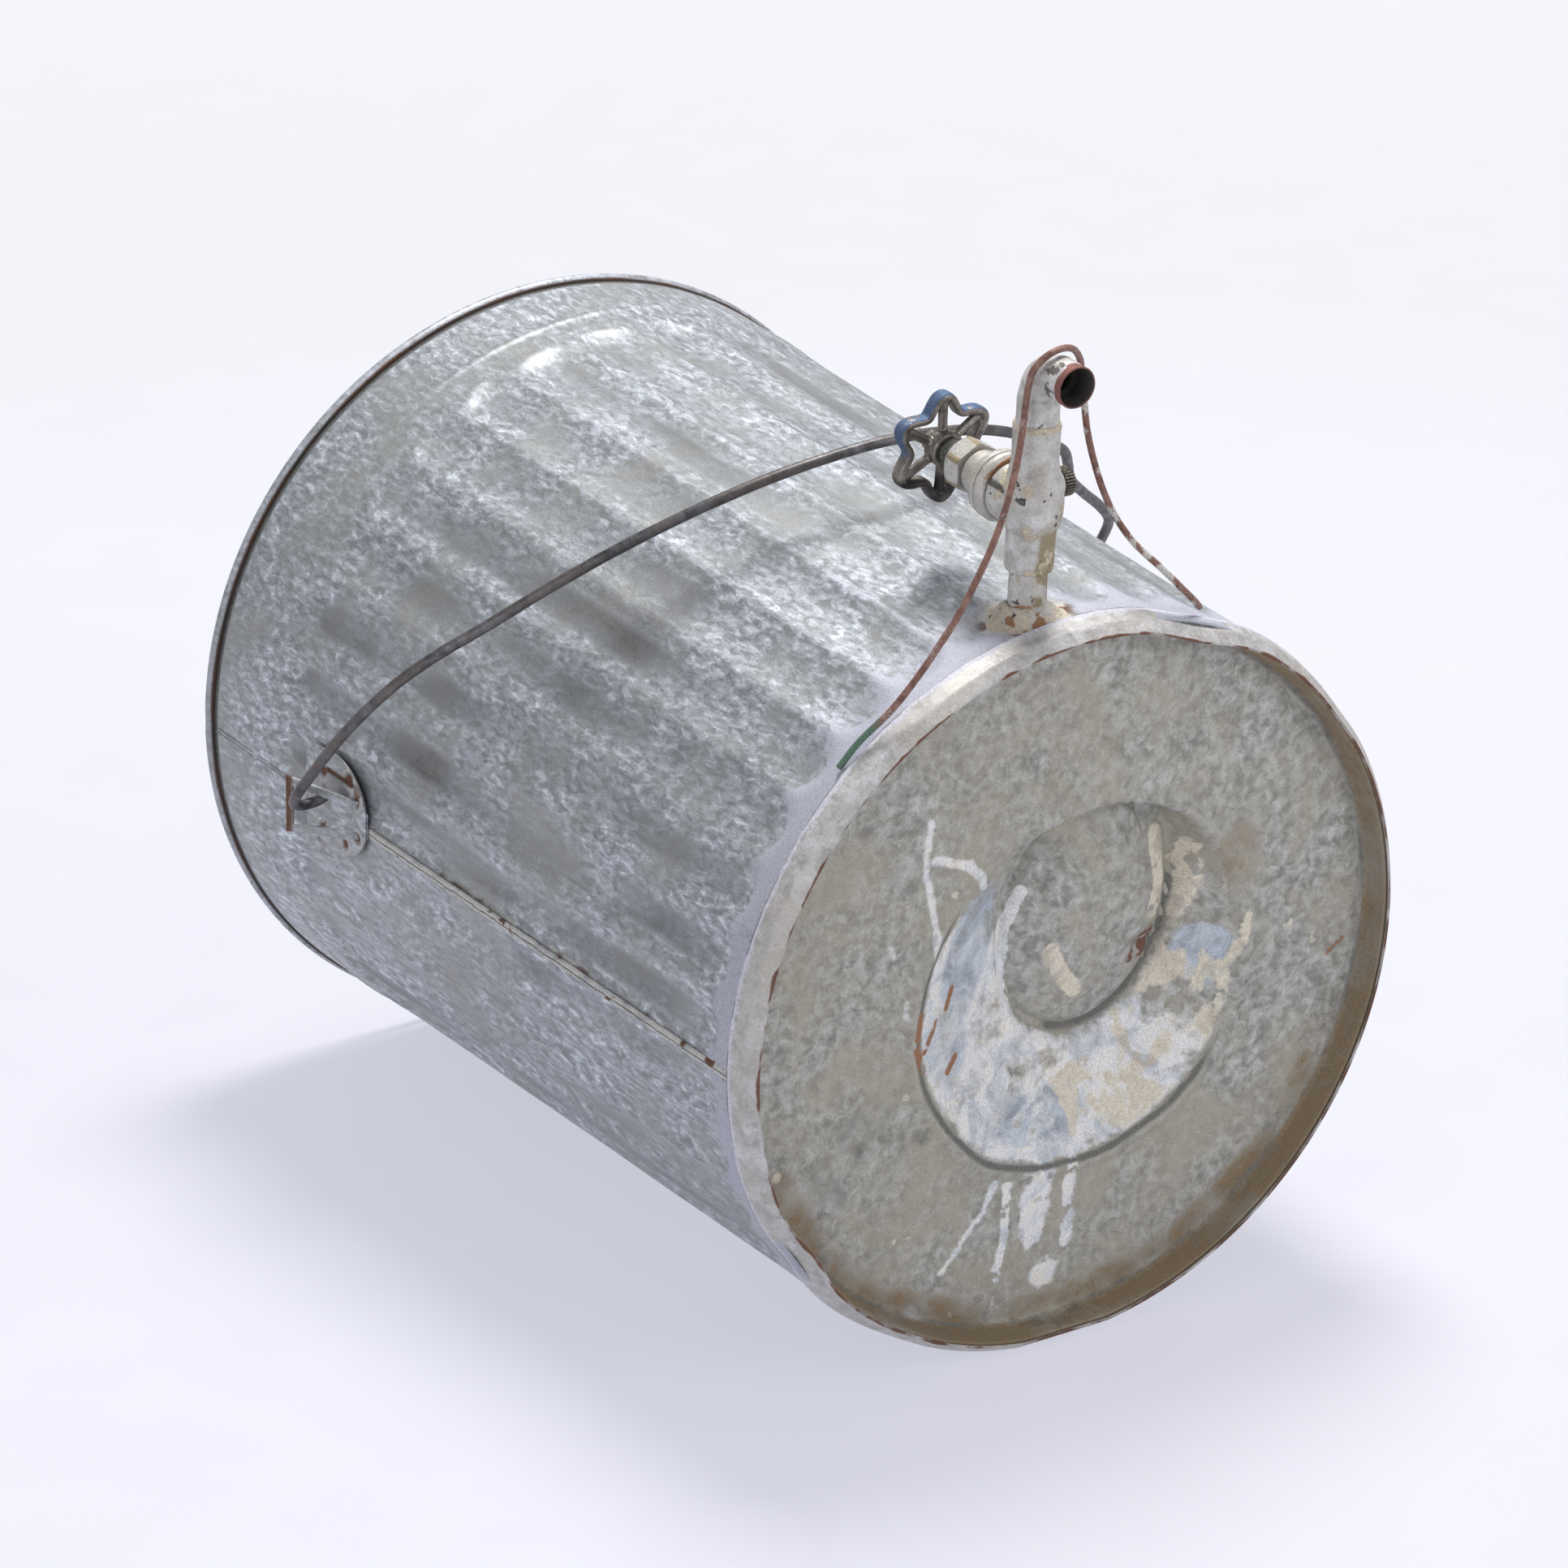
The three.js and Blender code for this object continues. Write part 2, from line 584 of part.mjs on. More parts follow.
// The elbow as stations along its bent axis: [distance, outer radius, inner radius].
const ELBOW_ARC = (ELBOW_BEND * Math.PI) / 2;
const ELBOW_CUP = CUP_DEPTH - 0.3;
const ELBOW_STATIONS = [
  [0, ELBOW_RADIUS, TUBE_RADIUS + GAP], [ELBOW_CUP, ELBOW_RADIUS, TUBE_RADIUS + GAP],
  [ELBOW_CUP + 1, ELBOW_RADIUS, TUBE_BORE], [ELBOW_CUP + 3, 8.3, TUBE_BORE], [ELBOW_CUP + 7, 8.3, TUBE_BORE],
  [ELBOW_CUP + 12.5, 8.3, TUBE_BORE], [ELBOW_CUP + ELBOW_ARC - 3, 8.3, TUBE_BORE],
  [ELBOW_CUP + ELBOW_ARC - 1, ELBOW_RADIUS, TUBE_BORE],
  [ELBOW_CUP + ELBOW_ARC, ELBOW_RADIUS, TUBE_RADIUS + GAP],
  [ELBOW_CUP + ELBOW_ARC + CUP_DEPTH, ELBOW_RADIUS, TUBE_RADIUS + GAP],
];

function outletElbow() {
  const columns = 24;
  const surface = (which) => (i, j) => {
    const distance = ELBOW_STATIONS[i][0] - ELBOW_CUP;
    const radius = ELBOW_STATIONS[i][which];
    const turn = Math.min(Math.PI / 2, Math.max(0, distance / ELBOW_BEND));
    const before = Math.min(0, distance);
    const after = Math.max(0, distance - ELBOW_ARC);
    const across = radius * Math.cos((TAU * j) / columns);
    const side = radius * Math.sin((TAU * j) / columns);
    const x = ELBOW_BEND - (ELBOW_BEND - across) * Math.cos(turn) + after;
    const z = OUTLET_LEVEL - ELBOW_BEND + (ELBOW_BEND - across) * Math.sin(turn) + before;
    return [x, side, z];
  };
  return skin(ELBOW_STATIONS.length - 1, columns, surface(1), surface(2), true);
}

// ---- Assembly ----

const valvePlace = new THREE.Vector3(...place(wallRadius(VALVE_HEIGHT), VALVE_ANGLE, VALVE_HEIGHT));
const taper = Math.atan((WALL_RADIUS_RIM - WALL_RADIUS_BASE) / CAN_HEIGHT) + VALVE_TIP * DEG;
valve.position.copy(valvePlace);
valve.rotation.set(0, Math.PI / 2 + taper, 0);
valve.rotateX(VALVE_LEAN * DEG);
valve.updateMatrix();

const holeInCan = nippleHole.clone().applyMatrix4(valve.matrix);
addMesh("can_wall", fromSolid(wallSolid.subtract(solid(holeInCan))), "galvanised", can);
addMesh("rolled_rim", rolledRim(), "galvanised", can);
addMesh("rim_wire", rimWire(), "bail", can);
addMesh("base_hoop", baseHoop(), "painted", can);
addMesh("bottom_pan", bottomPan(), "pan", can);
addMesh("side_seam_lower", seamStrip(17, EAR_START - 1), "galvanised", can);
addMesh("side_seam_upper", seamStrip(EAR_START + EAR_LENGTH + 1, 423), "galvanised", can);

const earShape = ear();
const earNear = addMesh("ear_near", earShape, "galvanised", can);
earNear.rotation.z = -Math.PI / 2;
const earFar = addMesh("ear_far", earShape.clone(), "galvanised", can);
earFar.rotation.z = Math.PI / 2;

// Solder heaped round the nipple, cut to the fluted wall with a small gap.
const thickWall = solid(skin(4, FLUTES * FLUTE_STEPS, fillSurface(GAP), fillSurface(-6), true));
function fillSurface(lift) {
  const heights = [16.5, FLUTE_BOTTOM, FLUTE_BOTTOM + FLUTE_END, 60, 80];
  return (i, j) => {
    const angle = SEAM_ANGLE + (360 * j) / (FLUTES * FLUTE_STEPS);
    const depth = lift > 0 ? fluteDepth(angle, heights[i]) : 0;
    return place(wallRadius(heights[i]) + lift - depth, angle, heights[i]);
  };
}
const heap = turned([
  [TUBE_RADIUS + GAP, -4], [13, -4], [13, 0.4], [11.2, 2.6], [9.3, 4.6], [TUBE_RADIUS + GAP, 6],
], 28);
const heapInCan = solid(heap.clone().applyMatrix4(valve.matrix));
addMesh("solder_joint", fromSolid(heapInCan.subtract(thickWall)), "painted", can);

const bail = addMesh("bail", bailWire(), "bail", can);
addMesh("brace_wire", tube(BRACE_ROUTE, BRACE_WIRE, 6, 2), "rust", can);

addMesh("pipe_nipple", pipeNipple(), "painted", valve);
addMesh("valve_body", valveBody(), "painted", valve);
addMesh("bonnet", bonnet(), "painted", valve);
addMesh("stem_packing", stemPacking(), "rubber", valve);
addMesh("packing_nut", packingNut(), "painted", valve);
addMesh("valve_stem", valveStem(), "brass", valve);
addMesh("disc_holder", discHolder(), "brass", valve);
addMesh("disc_washer", discWasher(), "rubber", valve);
addMesh("disc_screw", discScrew(), "brass", valve);
addMesh("handwheel", handwheel(), "wheel", valve);
addMesh("wheel_nut", wheelNut(), "wheel", valve);
addMesh("drain_cap", drainCap(), "bronze", valve);
addMesh("drain_seal", drainSeal(), "rubber", valve);
addMesh("outlet_nipple", outletNipple(), "copper", valve);
addMesh("outlet_elbow", outletElbow(), "painted", valve);

// Lay the can down so that the flattened chords of the hoop and the rim are level.
const LIE_RISE = RIM_RADIUS - RIM_FLAT - HOOP_RADIUS + HOOP_FLAT;
const LIE = Math.atan(LIE_RISE / (CAN_HEIGHT - RIM_ROLL - HOOP_HEIGHT));
can.rotation.y = -(Math.PI / 2 - LIE);

// The bail turns about the line through both ears.
bail.position.set(PIVOT_OFFSET, 0, PIVOT_HEIGHT);
bail.rotation.y = BAIL_TILT * DEG;

// Origin at the middle of the bottom of the whole object's box.
model.updateMatrixWorld(true);
const box = new THREE.Box3().setFromObject(model, true);
model.position.set(-(box.min.x + box.max.x) / 2, -(box.min.y + box.max.y) / 2, -box.min.z);

export default model;
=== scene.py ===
# Farm-made poultry waterer fount: a fluted galvanised can on its side, with a soldered
# stop-and-waste valve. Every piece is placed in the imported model's frame. Lengths are in
# millimetres until make() turns them to metres, and lights, floor and camera are in metres.
import json
import math
import bpy
import bmesh
import numpy as np
from mathutils import Matrix

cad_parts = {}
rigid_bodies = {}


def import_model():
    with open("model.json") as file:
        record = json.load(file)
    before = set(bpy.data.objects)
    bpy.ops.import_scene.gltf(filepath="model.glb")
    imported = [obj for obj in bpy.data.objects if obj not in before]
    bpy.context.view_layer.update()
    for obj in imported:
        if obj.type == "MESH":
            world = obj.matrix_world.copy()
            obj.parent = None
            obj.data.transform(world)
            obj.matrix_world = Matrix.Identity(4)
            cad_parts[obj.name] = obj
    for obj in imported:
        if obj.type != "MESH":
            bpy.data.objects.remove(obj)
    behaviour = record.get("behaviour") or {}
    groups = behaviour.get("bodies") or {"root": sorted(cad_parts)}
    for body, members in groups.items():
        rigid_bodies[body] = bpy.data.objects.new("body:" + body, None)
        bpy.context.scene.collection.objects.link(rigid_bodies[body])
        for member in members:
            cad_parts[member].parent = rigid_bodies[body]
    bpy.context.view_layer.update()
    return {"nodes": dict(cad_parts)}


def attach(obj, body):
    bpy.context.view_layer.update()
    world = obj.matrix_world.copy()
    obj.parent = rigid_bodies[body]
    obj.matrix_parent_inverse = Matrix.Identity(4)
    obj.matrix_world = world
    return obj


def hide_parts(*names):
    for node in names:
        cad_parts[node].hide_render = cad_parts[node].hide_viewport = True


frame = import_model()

MM = 0.001

# ---- The CAD model's own sizes ----
CAN_HEIGHT = 433.0
BASE_RADIUS = 164.0
RIM_WALL_RADIUS = 177.7
SHEET = 1.2
WALL_BOTTOM = 7.0
WALL_TOP = 426.4
FLUTES = 35
FLUTE_DEPTH = 2.9
FLUTE_BOTTOM = 24.0
FLUTE_TOP = 372.0
FLUTE_END = 17.0
SEAM_ANGLE = 90.9
HOOP_RADIUS = 166.6
HOOP_HEIGHT = 15.5
RIM_RADIUS = 180.0
RIM_ROLL = 2.7
FLAT_HALF = math.radians(7.5)
FLAT_FADE = 24.0
LIE = 1.834
CAN_AT = np.array([214.2347, 0.0, 164.5939])
VALVE_HEIGHT = 29.6
VALVE_ANGLE = 5.84
VALVE_LEAN = 0.8
SEAT_LEVEL = 49.0
DRAIN_LEVEL = 56.2
WHEEL_LEVEL = 62.2
BAIL_PIVOT = [3, 0, 322.5]
BAIL_REST = 41.4
BAIL_WIRE = 2.4
BRACE_WIRE = 1.42
PAN_OUTSIDE = 15.0
PAN_INSIDE = 16.2
EAR_START, EAR_LENGTH, EAR_HALF = 294.0, 50.0, 24.0
TONGUE_ROOT, TONGUE_LENGTH, TONGUE_SLOPE, TONGUE_SHEET = 301.0, 37.5, 29.0, 1.5
CUP_DEPTH = 12.4
ELBOW_BEND = 12.4
ELBOW_TOP = 109.4
CUP_BORE = 8.24
TURN_BORE = 6.9


# ---- Frames ----
def turn_x(degrees):
    c, s = math.cos(math.radians(degrees)), math.sin(math.radians(degrees))
    return np.array([[1, 0, 0], [0, c, -s], [0, s, c]])


def turn_y(degrees):
    c, s = math.cos(math.radians(degrees)), math.sin(math.radians(degrees))
    return np.array([[c, 0, s], [0, 1, 0], [-s, 0, c]])


def turn_z(degrees):
    c, s = math.cos(math.radians(degrees)), math.sin(math.radians(degrees))
    return np.array([[c, -s, 0], [s, c, 0], [0, 0, 1]])


def wall_radius(z):
    return BASE_RADIUS + (RIM_WALL_RADIUS - BASE_RADIUS) * z / CAN_HEIGHT


def place(radius, degrees, z):
    """Round the can: 0 degrees is the valve side, 90 degrees the near ear."""
    a = np.radians(degrees)
    radius, a, z = np.broadcast_arrays(radius, a, z)
    return np.stack([radius * np.cos(a), -radius * np.sin(a), z], -1)


CAN_TURN = turn_y(-(90 - LIE))
TAPER = math.degrees(math.atan((RIM_WALL_RADIUS - BASE_RADIUS) / CAN_HEIGHT)) + 0.77
VALVE_TURN = turn_y(90 + TAPER) @ turn_x(VALVE_LEAN)
VALVE_AT = place(wall_radius(VALVE_HEIGHT), VALVE_ANGLE, VALVE_HEIGHT)


def from_can(p):
    return np.asarray(p, float) @ CAN_TURN.T + CAN_AT


def valve_to_can(p):
    return np.asarray(p, float) @ VALVE_TURN.T + VALVE_AT


def from_valve(p):
    return from_can(valve_to_can(p))


def from_bonnet(p):
    return from_valve(np.asarray(p, float) @ turn_y(-90).T + [0, 0, SEAT_LEVEL])


def from_drain(p):
    return from_valve(np.asarray(p, float) @ turn_x(-90).T + [0, 0, DRAIN_LEVEL])


# ---- Number helpers ----
def smooth(t):
    t = np.clip(t, 0, 1)
    return t * t * (3 - 2 * t)


def value_noise(p, seed):
    table = np.random.default_rng(seed).random(4096)
    cell = np.floor(p).astype(np.int64)
    f = p - cell
    f = f * f * (3 - 2 * f)
    total = np.zeros(p.shape[:-1])
    for dx in (0, 1):
        for dy in (0, 1):
            for dz in (0, 1):
                key = (cell[..., 0] + dx) * 73856093
                key = key ^ ((cell[..., 1] + dy) * 19349663) ^ ((cell[..., 2] + dz) * 83492791)
                weight = f[..., 0] if dx else 1 - f[..., 0]
                weight = weight * (f[..., 1] if dy else 1 - f[..., 1])
                total += table[key & 4095] * weight * (f[..., 2] if dz else 1 - f[..., 2])
    return total * 2 - 1


def fbm(p, size, octaves=4, seed=1):
    """Smooth noise of about -1 to 1, with features of the given size (one number or one per axis)."""
    p = np.asarray(p, float)
    total, amplitude, norm = 0.0, 1.0, 0.0
    size = np.asarray(size, float)
    for octave in range(octaves):
        total = total + amplitude * value_noise(p / size + 17.3 * octave, seed + octave)
        norm += amplitude
        amplitude *= 0.55
        size = size / 2
    return total / norm


def most(*layers):
    """The strongest of several masks at each point."""
    return np.maximum.reduce([np.asarray(layer, float) for layer in layers])


def near_line(u, v, points, width, soft=1.0):
    """1 within width of a broken line through the points, fading over soft."""
    best = np.full(u.shape, 1e9)
    for (a, b), (c, d) in zip(points[:-1], points[1:]):
        length = max(1e-9, (c - a) ** 2 + (d - b) ** 2)
        t = np.clip(((u - a) * (c - a) + (v - b) * (d - b)) / length, 0, 1)
        best = np.minimum(best, np.hypot(u - a - t * (c - a), v - b - t * (d - b)))
    return smooth((width - best) / soft + 0.5)


def strokes(u, v, rows):
    """The strongest of several strokes: rows of (strength, points, width, softness, wear)."""
    return most(*[strength * near_line(u, v, points, width, soft) * wear
                  for strength, points, width, soft, wear in rows])


def near_spot(u, v, cu, cv, ru, rv, turn=0.0, soft=0.3):
    c, s = math.cos(math.radians(turn)), math.sin(math.radians(turn))
    x, y = (u - cu) * c + (v - cv) * s, -(u - cu) * s + (v - cv) * c
    return smooth((1 - np.hypot(x / ru, y / rv)) / soft + 0.5)


# ---- Mesh helpers ----
def grid_faces(rows, columns, wrap_rows=False, wrap_columns=False, start=0):
    i, j = np.meshgrid(np.arange(rows if wrap_rows else rows - 1),
                       np.arange(columns if wrap_columns else columns - 1), indexing="ij")
    i2, j2 = (i + 1) % rows, (j + 1) % columns
    quads = np.stack([i * columns + j, i * columns + j2, i2 * columns + j2, i2 * columns + j], -1)
    return quads.reshape(-1, 4) + start


def closed_grid(grid):
    """Faces of a grid that wraps both ways."""
    return grid_faces(grid.shape[0], grid.shape[1], True, True)


def capped_faces(rows, columns):
    """Faces of a tube whose two ends are closed by one face each."""
    faces = grid_faces(rows, columns, wrap_columns=True).tolist()
    faces.append(list(range(columns)))
    faces.append(list(range((rows - 1) * columns, rows * columns)))
    return faces


def all_round(columns):
    """Angles from -180 degrees, evenly spaced round the can."""
    return np.arange(columns) * 360.0 / columns - 180


def make(name, points, faces, material, body, masks=None, replaces=(), merge=True):
    """A piece from world points in mm, with its faces turned outwards and its masks stored."""
    points = np.asarray(points, float).reshape(-1, 3)
    mesh = bpy.data.meshes.new(name)
    mesh.from_pydata((points * MM).tolist(), [], [list(map(int, f)) for f in faces])
    for key, values in (masks or {}).items():
        layer = mesh.attributes.new(key, "FLOAT", "POINT")
        layer.data.foreach_set("value", np.clip(np.asarray(values, float).ravel(), 0, 1))
    bm = bmesh.new()
    bm.from_mesh(mesh)
    if merge:
        bmesh.ops.remove_doubles(bm, verts=bm.verts, dist=2e-6)
    bmesh.ops.dissolve_degenerate(bm, dist=1e-7, edges=bm.edges)
    if bm.calc_volume(signed=True) < 0:
        bmesh.ops.reverse_faces(bm, faces=bm.faces)
    for face in bm.faces:
        face.smooth = True
    bm.to_mesh(mesh)
    bm.free()
    mesh.materials.append(material)
    obj = bpy.data.objects.new(name, mesh)
    bpy.context.collection.objects.link(obj)
    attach(obj, body)
    if replaces:
        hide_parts(*replaces)
    return obj


def rounded(profile, radius=0.5, steps=3, closed=True):
    """Rounds the corners of a [radius, height] profile, leaving points on the axis alone."""
    pts = [np.array(p, float) for p in profile]
    out = []
    for i, p in enumerate(pts):
        if p[0] < 1e-6 or (not closed and i in (0, len(pts) - 1)):
            out.append(p)
            continue
        before, after = pts[i - 1], pts[(i + 1) % len(pts)]
        la, lb = np.linalg.norm(before - p), np.linalg.norm(after - p)
        a = p + (before - p) / la * min(radius, la * 0.45)
        b = p + (after - p) / lb * min(radius, lb * 0.45)
        for k in range(steps + 1):
            t = k / steps
            out.append((1 - t) ** 2 * a + 2 * t * (1 - t) * p + t * t * b)
    return np.array(out)


def fine(profile, longest=1.5):
    """Splits the long stretches of a profile so that noise can shape them."""
    out = []
    for a, b in zip(profile, np.roll(profile, -1, axis=0)):
        n = max(1, int(np.ceil(np.linalg.norm(b - a) / longest)))
        out += [a + (b - a) * k / n for k in range(n)]
    return np.array(out)


def turned_grid(profile, columns):
    """Rows of points round +Z, for a closed profile of [radius, height]."""
    a = np.arange(columns) * 2 * math.pi / columns
    r, z = profile[:, 0][:, None], profile[:, 1][:, None]
    return np.stack([r * np.cos(a), r * np.sin(a), z + 0 * a], -1)


def catmull(points, steps):
    p = np.asarray(points, float)
    p = np.vstack([2 * p[0] - p[1], p, 2 * p[-1] - p[-2]])
    out = []
    for i in range(1, len(p) - 2):
        knots = [0.0]
        for k in range(3):
            knots.append(knots[-1] + max(1e-6, np.linalg.norm(p[i + k] - p[i + k - 1])) ** 0.5)
        for t in np.linspace(knots[1], knots[2], steps, endpoint=False):
            def lerp(a, b, ta, tb):
                return a + (b - a) * (t - ta) / (tb - ta)
            a1 = lerp(p[i - 1], p[i], knots[0], knots[1])
            a2 = lerp(p[i], p[i + 1], knots[1], knots[2])
            a3 = lerp(p[i + 1], p[i + 2], knots[2], knots[3])
            b1 = lerp(a1, a2, knots[0], knots[2])
            b2 = lerp(a2, a3, knots[1], knots[3])
            out.append(lerp(b1, b2, knots[1], knots[2]))
    out.append(p[-2])
    return np.array(out)


def sweep(path, radius, sides, rough=0.0, rough_size=6.0, seed=3):
    """A round bar along a path, with a small bevel at each end."""
    path = np.asarray(path, float)
    tangent = np.gradient(path, axis=0)
    tangent /= np.linalg.norm(tangent, axis=1)[:, None]
    side = np.cross(tangent[0], [0.0, 0.0, 1.0])
    if np.linalg.norm(side) < 1e-3:
        side = np.cross(tangent[0], [0.0, 1.0, 0.0])
    side /= np.linalg.norm(side)
    rings = []
    a = np.arange(sides) * 2 * math.pi / sides
    sides_at = []
    for t in tangent:
        side = side - t * (side @ t)
        side /= np.linalg.norm(side)
        sides_at.append(side)
    stations = [(0, 0.0, 0.0), (0, 0.7, 0.0), (0, 0.93, 0.12)]
    stations += [(i, 1.0, 0.0) for i in range(1, len(path) - 1)]
    last = len(path) - 1
    stations += [(last, 0.93, -0.12), (last, 0.7, 0.0), (last, 0.0, 0.0)]
    for i, scale, shift in stations:
        normal = np.cross(tangent[i], sides_at[i])
        centre = path[i] + tangent[i] * shift * radius
        spokes = np.outer(np.cos(a), sides_at[i]) + np.outer(np.sin(a), normal)
        ring = centre + radius * scale * spokes
        if rough and scale == 1.0:
            push = fbm(ring, rough_size, 3, seed) * rough
            ring = ring + (ring - centre) / radius * push[:, None]
        rings.append(ring)
    return np.array(rings), grid_faces(len(rings), sides, wrap_columns=True)


def remeshed(name, parts, voxel, smoothing):
    """Joins closed grids into one cast body: parts is a list of (points, faces) in mm."""
    points, faces, start = [], [], 0
    for p, f in parts:
        p = np.asarray(p).reshape(-1, 3)
        points.append(p)
        faces += (np.asarray(f) + start).tolist()
        start += len(p)
    mesh = bpy.data.meshes.new(name + "_raw")
    mesh.from_pydata((np.vstack(points) * MM).tolist(), [], faces)
    bm = bmesh.new()
    bm.from_mesh(mesh)
    bmesh.ops.remove_doubles(bm, verts=bm.verts, dist=2e-6)
    bmesh.ops.dissolve_degenerate(bm, dist=1e-7, edges=bm.edges)
    bmesh.ops.recalc_face_normals(bm, faces=bm.faces)
    bm.to_mesh(mesh)
    bm.free()
    obj = bpy.data.objects.new(name + "_raw", mesh)
    bpy.context.collection.objects.link(obj)
    remesh = obj.modifiers.new("union", "REMESH")
    remesh.mode = "VOXEL"
    remesh.voxel_size = voxel * MM
    soften = obj.modifiers.new("soften", "SMOOTH")
    soften.factor = 0.5
    soften.iterations = smoothing
    depsgraph = bpy.context.evaluated_depsgraph_get()
    result = bpy.data.meshes.new_from_object(obj.evaluated_get(depsgraph))
    out = np.empty(len(result.vertices) * 3)
    result.vertices.foreach_get("co", out)
    out = out.reshape(-1, 3) / MM
    out_faces = [list(p.vertices) for p in result.polygons]
    bpy.data.objects.remove(obj)
    bpy.data.meshes.remove(mesh)
    bpy.data.meshes.remove(result)
    return out, out_faces


# ---- Materials ----
class Shader:
    def __init__(self, name, metallic=0.0, specular=0.5):
        self.material = bpy.data.materials.new(name)
        self.material.use_nodes = True
        self.tree = self.material.node_tree
        self.tree.nodes.clear()
        self.out = self.tree.nodes.new("ShaderNodeOutputMaterial")
        self.bsdf = self.tree.nodes.new("ShaderNodeBsdfPrincipled")
        self.tree.links.new(self.bsdf.outputs["BSDF"], self.out.inputs["Surface"])
        self.bsdf.inputs["Metallic"].default_value = metallic
        self.bsdf.inputs["Specular IOR Level"].default_value = specular
        self.coords = self.tree.nodes.new("ShaderNodeTexCoord").outputs["Object"]

    def node(self, kind, inputs=None, **settings):
        node = self.tree.nodes.new(kind)
        for key, value in settings.items():
            setattr(node, key, value)
        for key, value in (inputs or {}).items():
            if isinstance(value, bpy.types.NodeSocket):
                self.tree.links.new(value, node.inputs[key])
            else:
                node.inputs[key].default_value = value
        return node

    def stretched(self, stretch, shift=(0, 0, 0)):
        inputs = {"Vector": self.coords, "Scale": stretch, "Location": shift}
        return self.node("ShaderNodeMapping", inputs).outputs[0]

    def noise(self, size, detail=4.0, roughness=0.6, distortion=0.0, stretch=(1, 1, 1),
              shift=(0, 0, 0)):
        """Noise with features of the given size in mm."""
        inputs = {"Vector": self.stretched(stretch, shift), "Scale": 1000.0 / size,
                  "Detail": detail, "Roughness": roughness, "Distortion": distortion}
        return self.node("ShaderNodeTexNoise", inputs).outputs["Fac"]

    def cells(self, size):
        """Distance to scattered points about size mm apart."""
        inputs = {"Vector": self.stretched((1, 1, 1)), "Scale": 1000.0 / size}
        return self.node("ShaderNodeTexVoronoi", inputs, feature="F1").outputs["Distance"]

    def ramp(self, value, stops):
        node = self.node("ShaderNodeValToRGB", {"Fac": value})
        elements = node.color_ramp.elements
        while len(elements) < len(stops):
            elements.new(0.5)
        for element, (position, colour) in zip(elements, stops):
            element.position = position
            if isinstance(colour, (int, float)):
                colour = (colour, colour, colour)
            element.color = (*colour, 1.0)
        return node.outputs["Color"]

    def mix(self, factor, a, b, blend="MIX"):
        node = self.node("ShaderNodeMix", data_type="RGBA", blend_type=blend)
        for socket, value in ((node.inputs[0], factor), (node.inputs[6], a), (node.inputs[7], b)):
            if isinstance(value, bpy.types.NodeSocket):
                self.tree.links.new(value, socket)
            elif isinstance(value, (int, float)):
                socket.default_value = value
            else:
                socket.default_value = (*value, 1.0)
        return node.outputs[2]

    def maths(self, operation, a, b=0.0):
        node = self.node("ShaderNodeMath", operation=operation)
        for socket, value in ((node.inputs[0], a), (node.inputs[1], b)):
            if isinstance(value, bpy.types.NodeSocket):
                self.tree.links.new(value, socket)
            else:
                socket.default_value = value
        return node.outputs[0]

    def mask(self, name):
        return self.node("ShaderNodeAttribute", attribute_name=name).outputs["Fac"]

    def broken(self, mask, noise, amount=0.5, low=0.3, high=0.75):
        """A painted mask with its edge broken up by noise."""
        push = self.maths("MULTIPLY", self.maths("SUBTRACT", noise, 0.5), amount)
        return self.ramp(self.maths("ADD", mask, push), [(low, 0.0), (high, 1.0)])

    def finish(self, colour, roughness, heights):
        self.tree.links.new(colour, self.bsdf.inputs["Base Color"])
        self.tree.links.new(roughness, self.bsdf.inputs["Roughness"])
        normal = None
        for height, depth in heights:
            inputs = {"Height": height, "Strength": 1.0, "Distance": depth * MM}
            if normal is not None:
                inputs["Normal"] = normal
            normal = self.node("ShaderNodeBump", inputs).outputs["Normal"]
        if normal is not None:
            self.tree.links.new(normal, self.bsdf.inputs["Normal"])
        return self.material


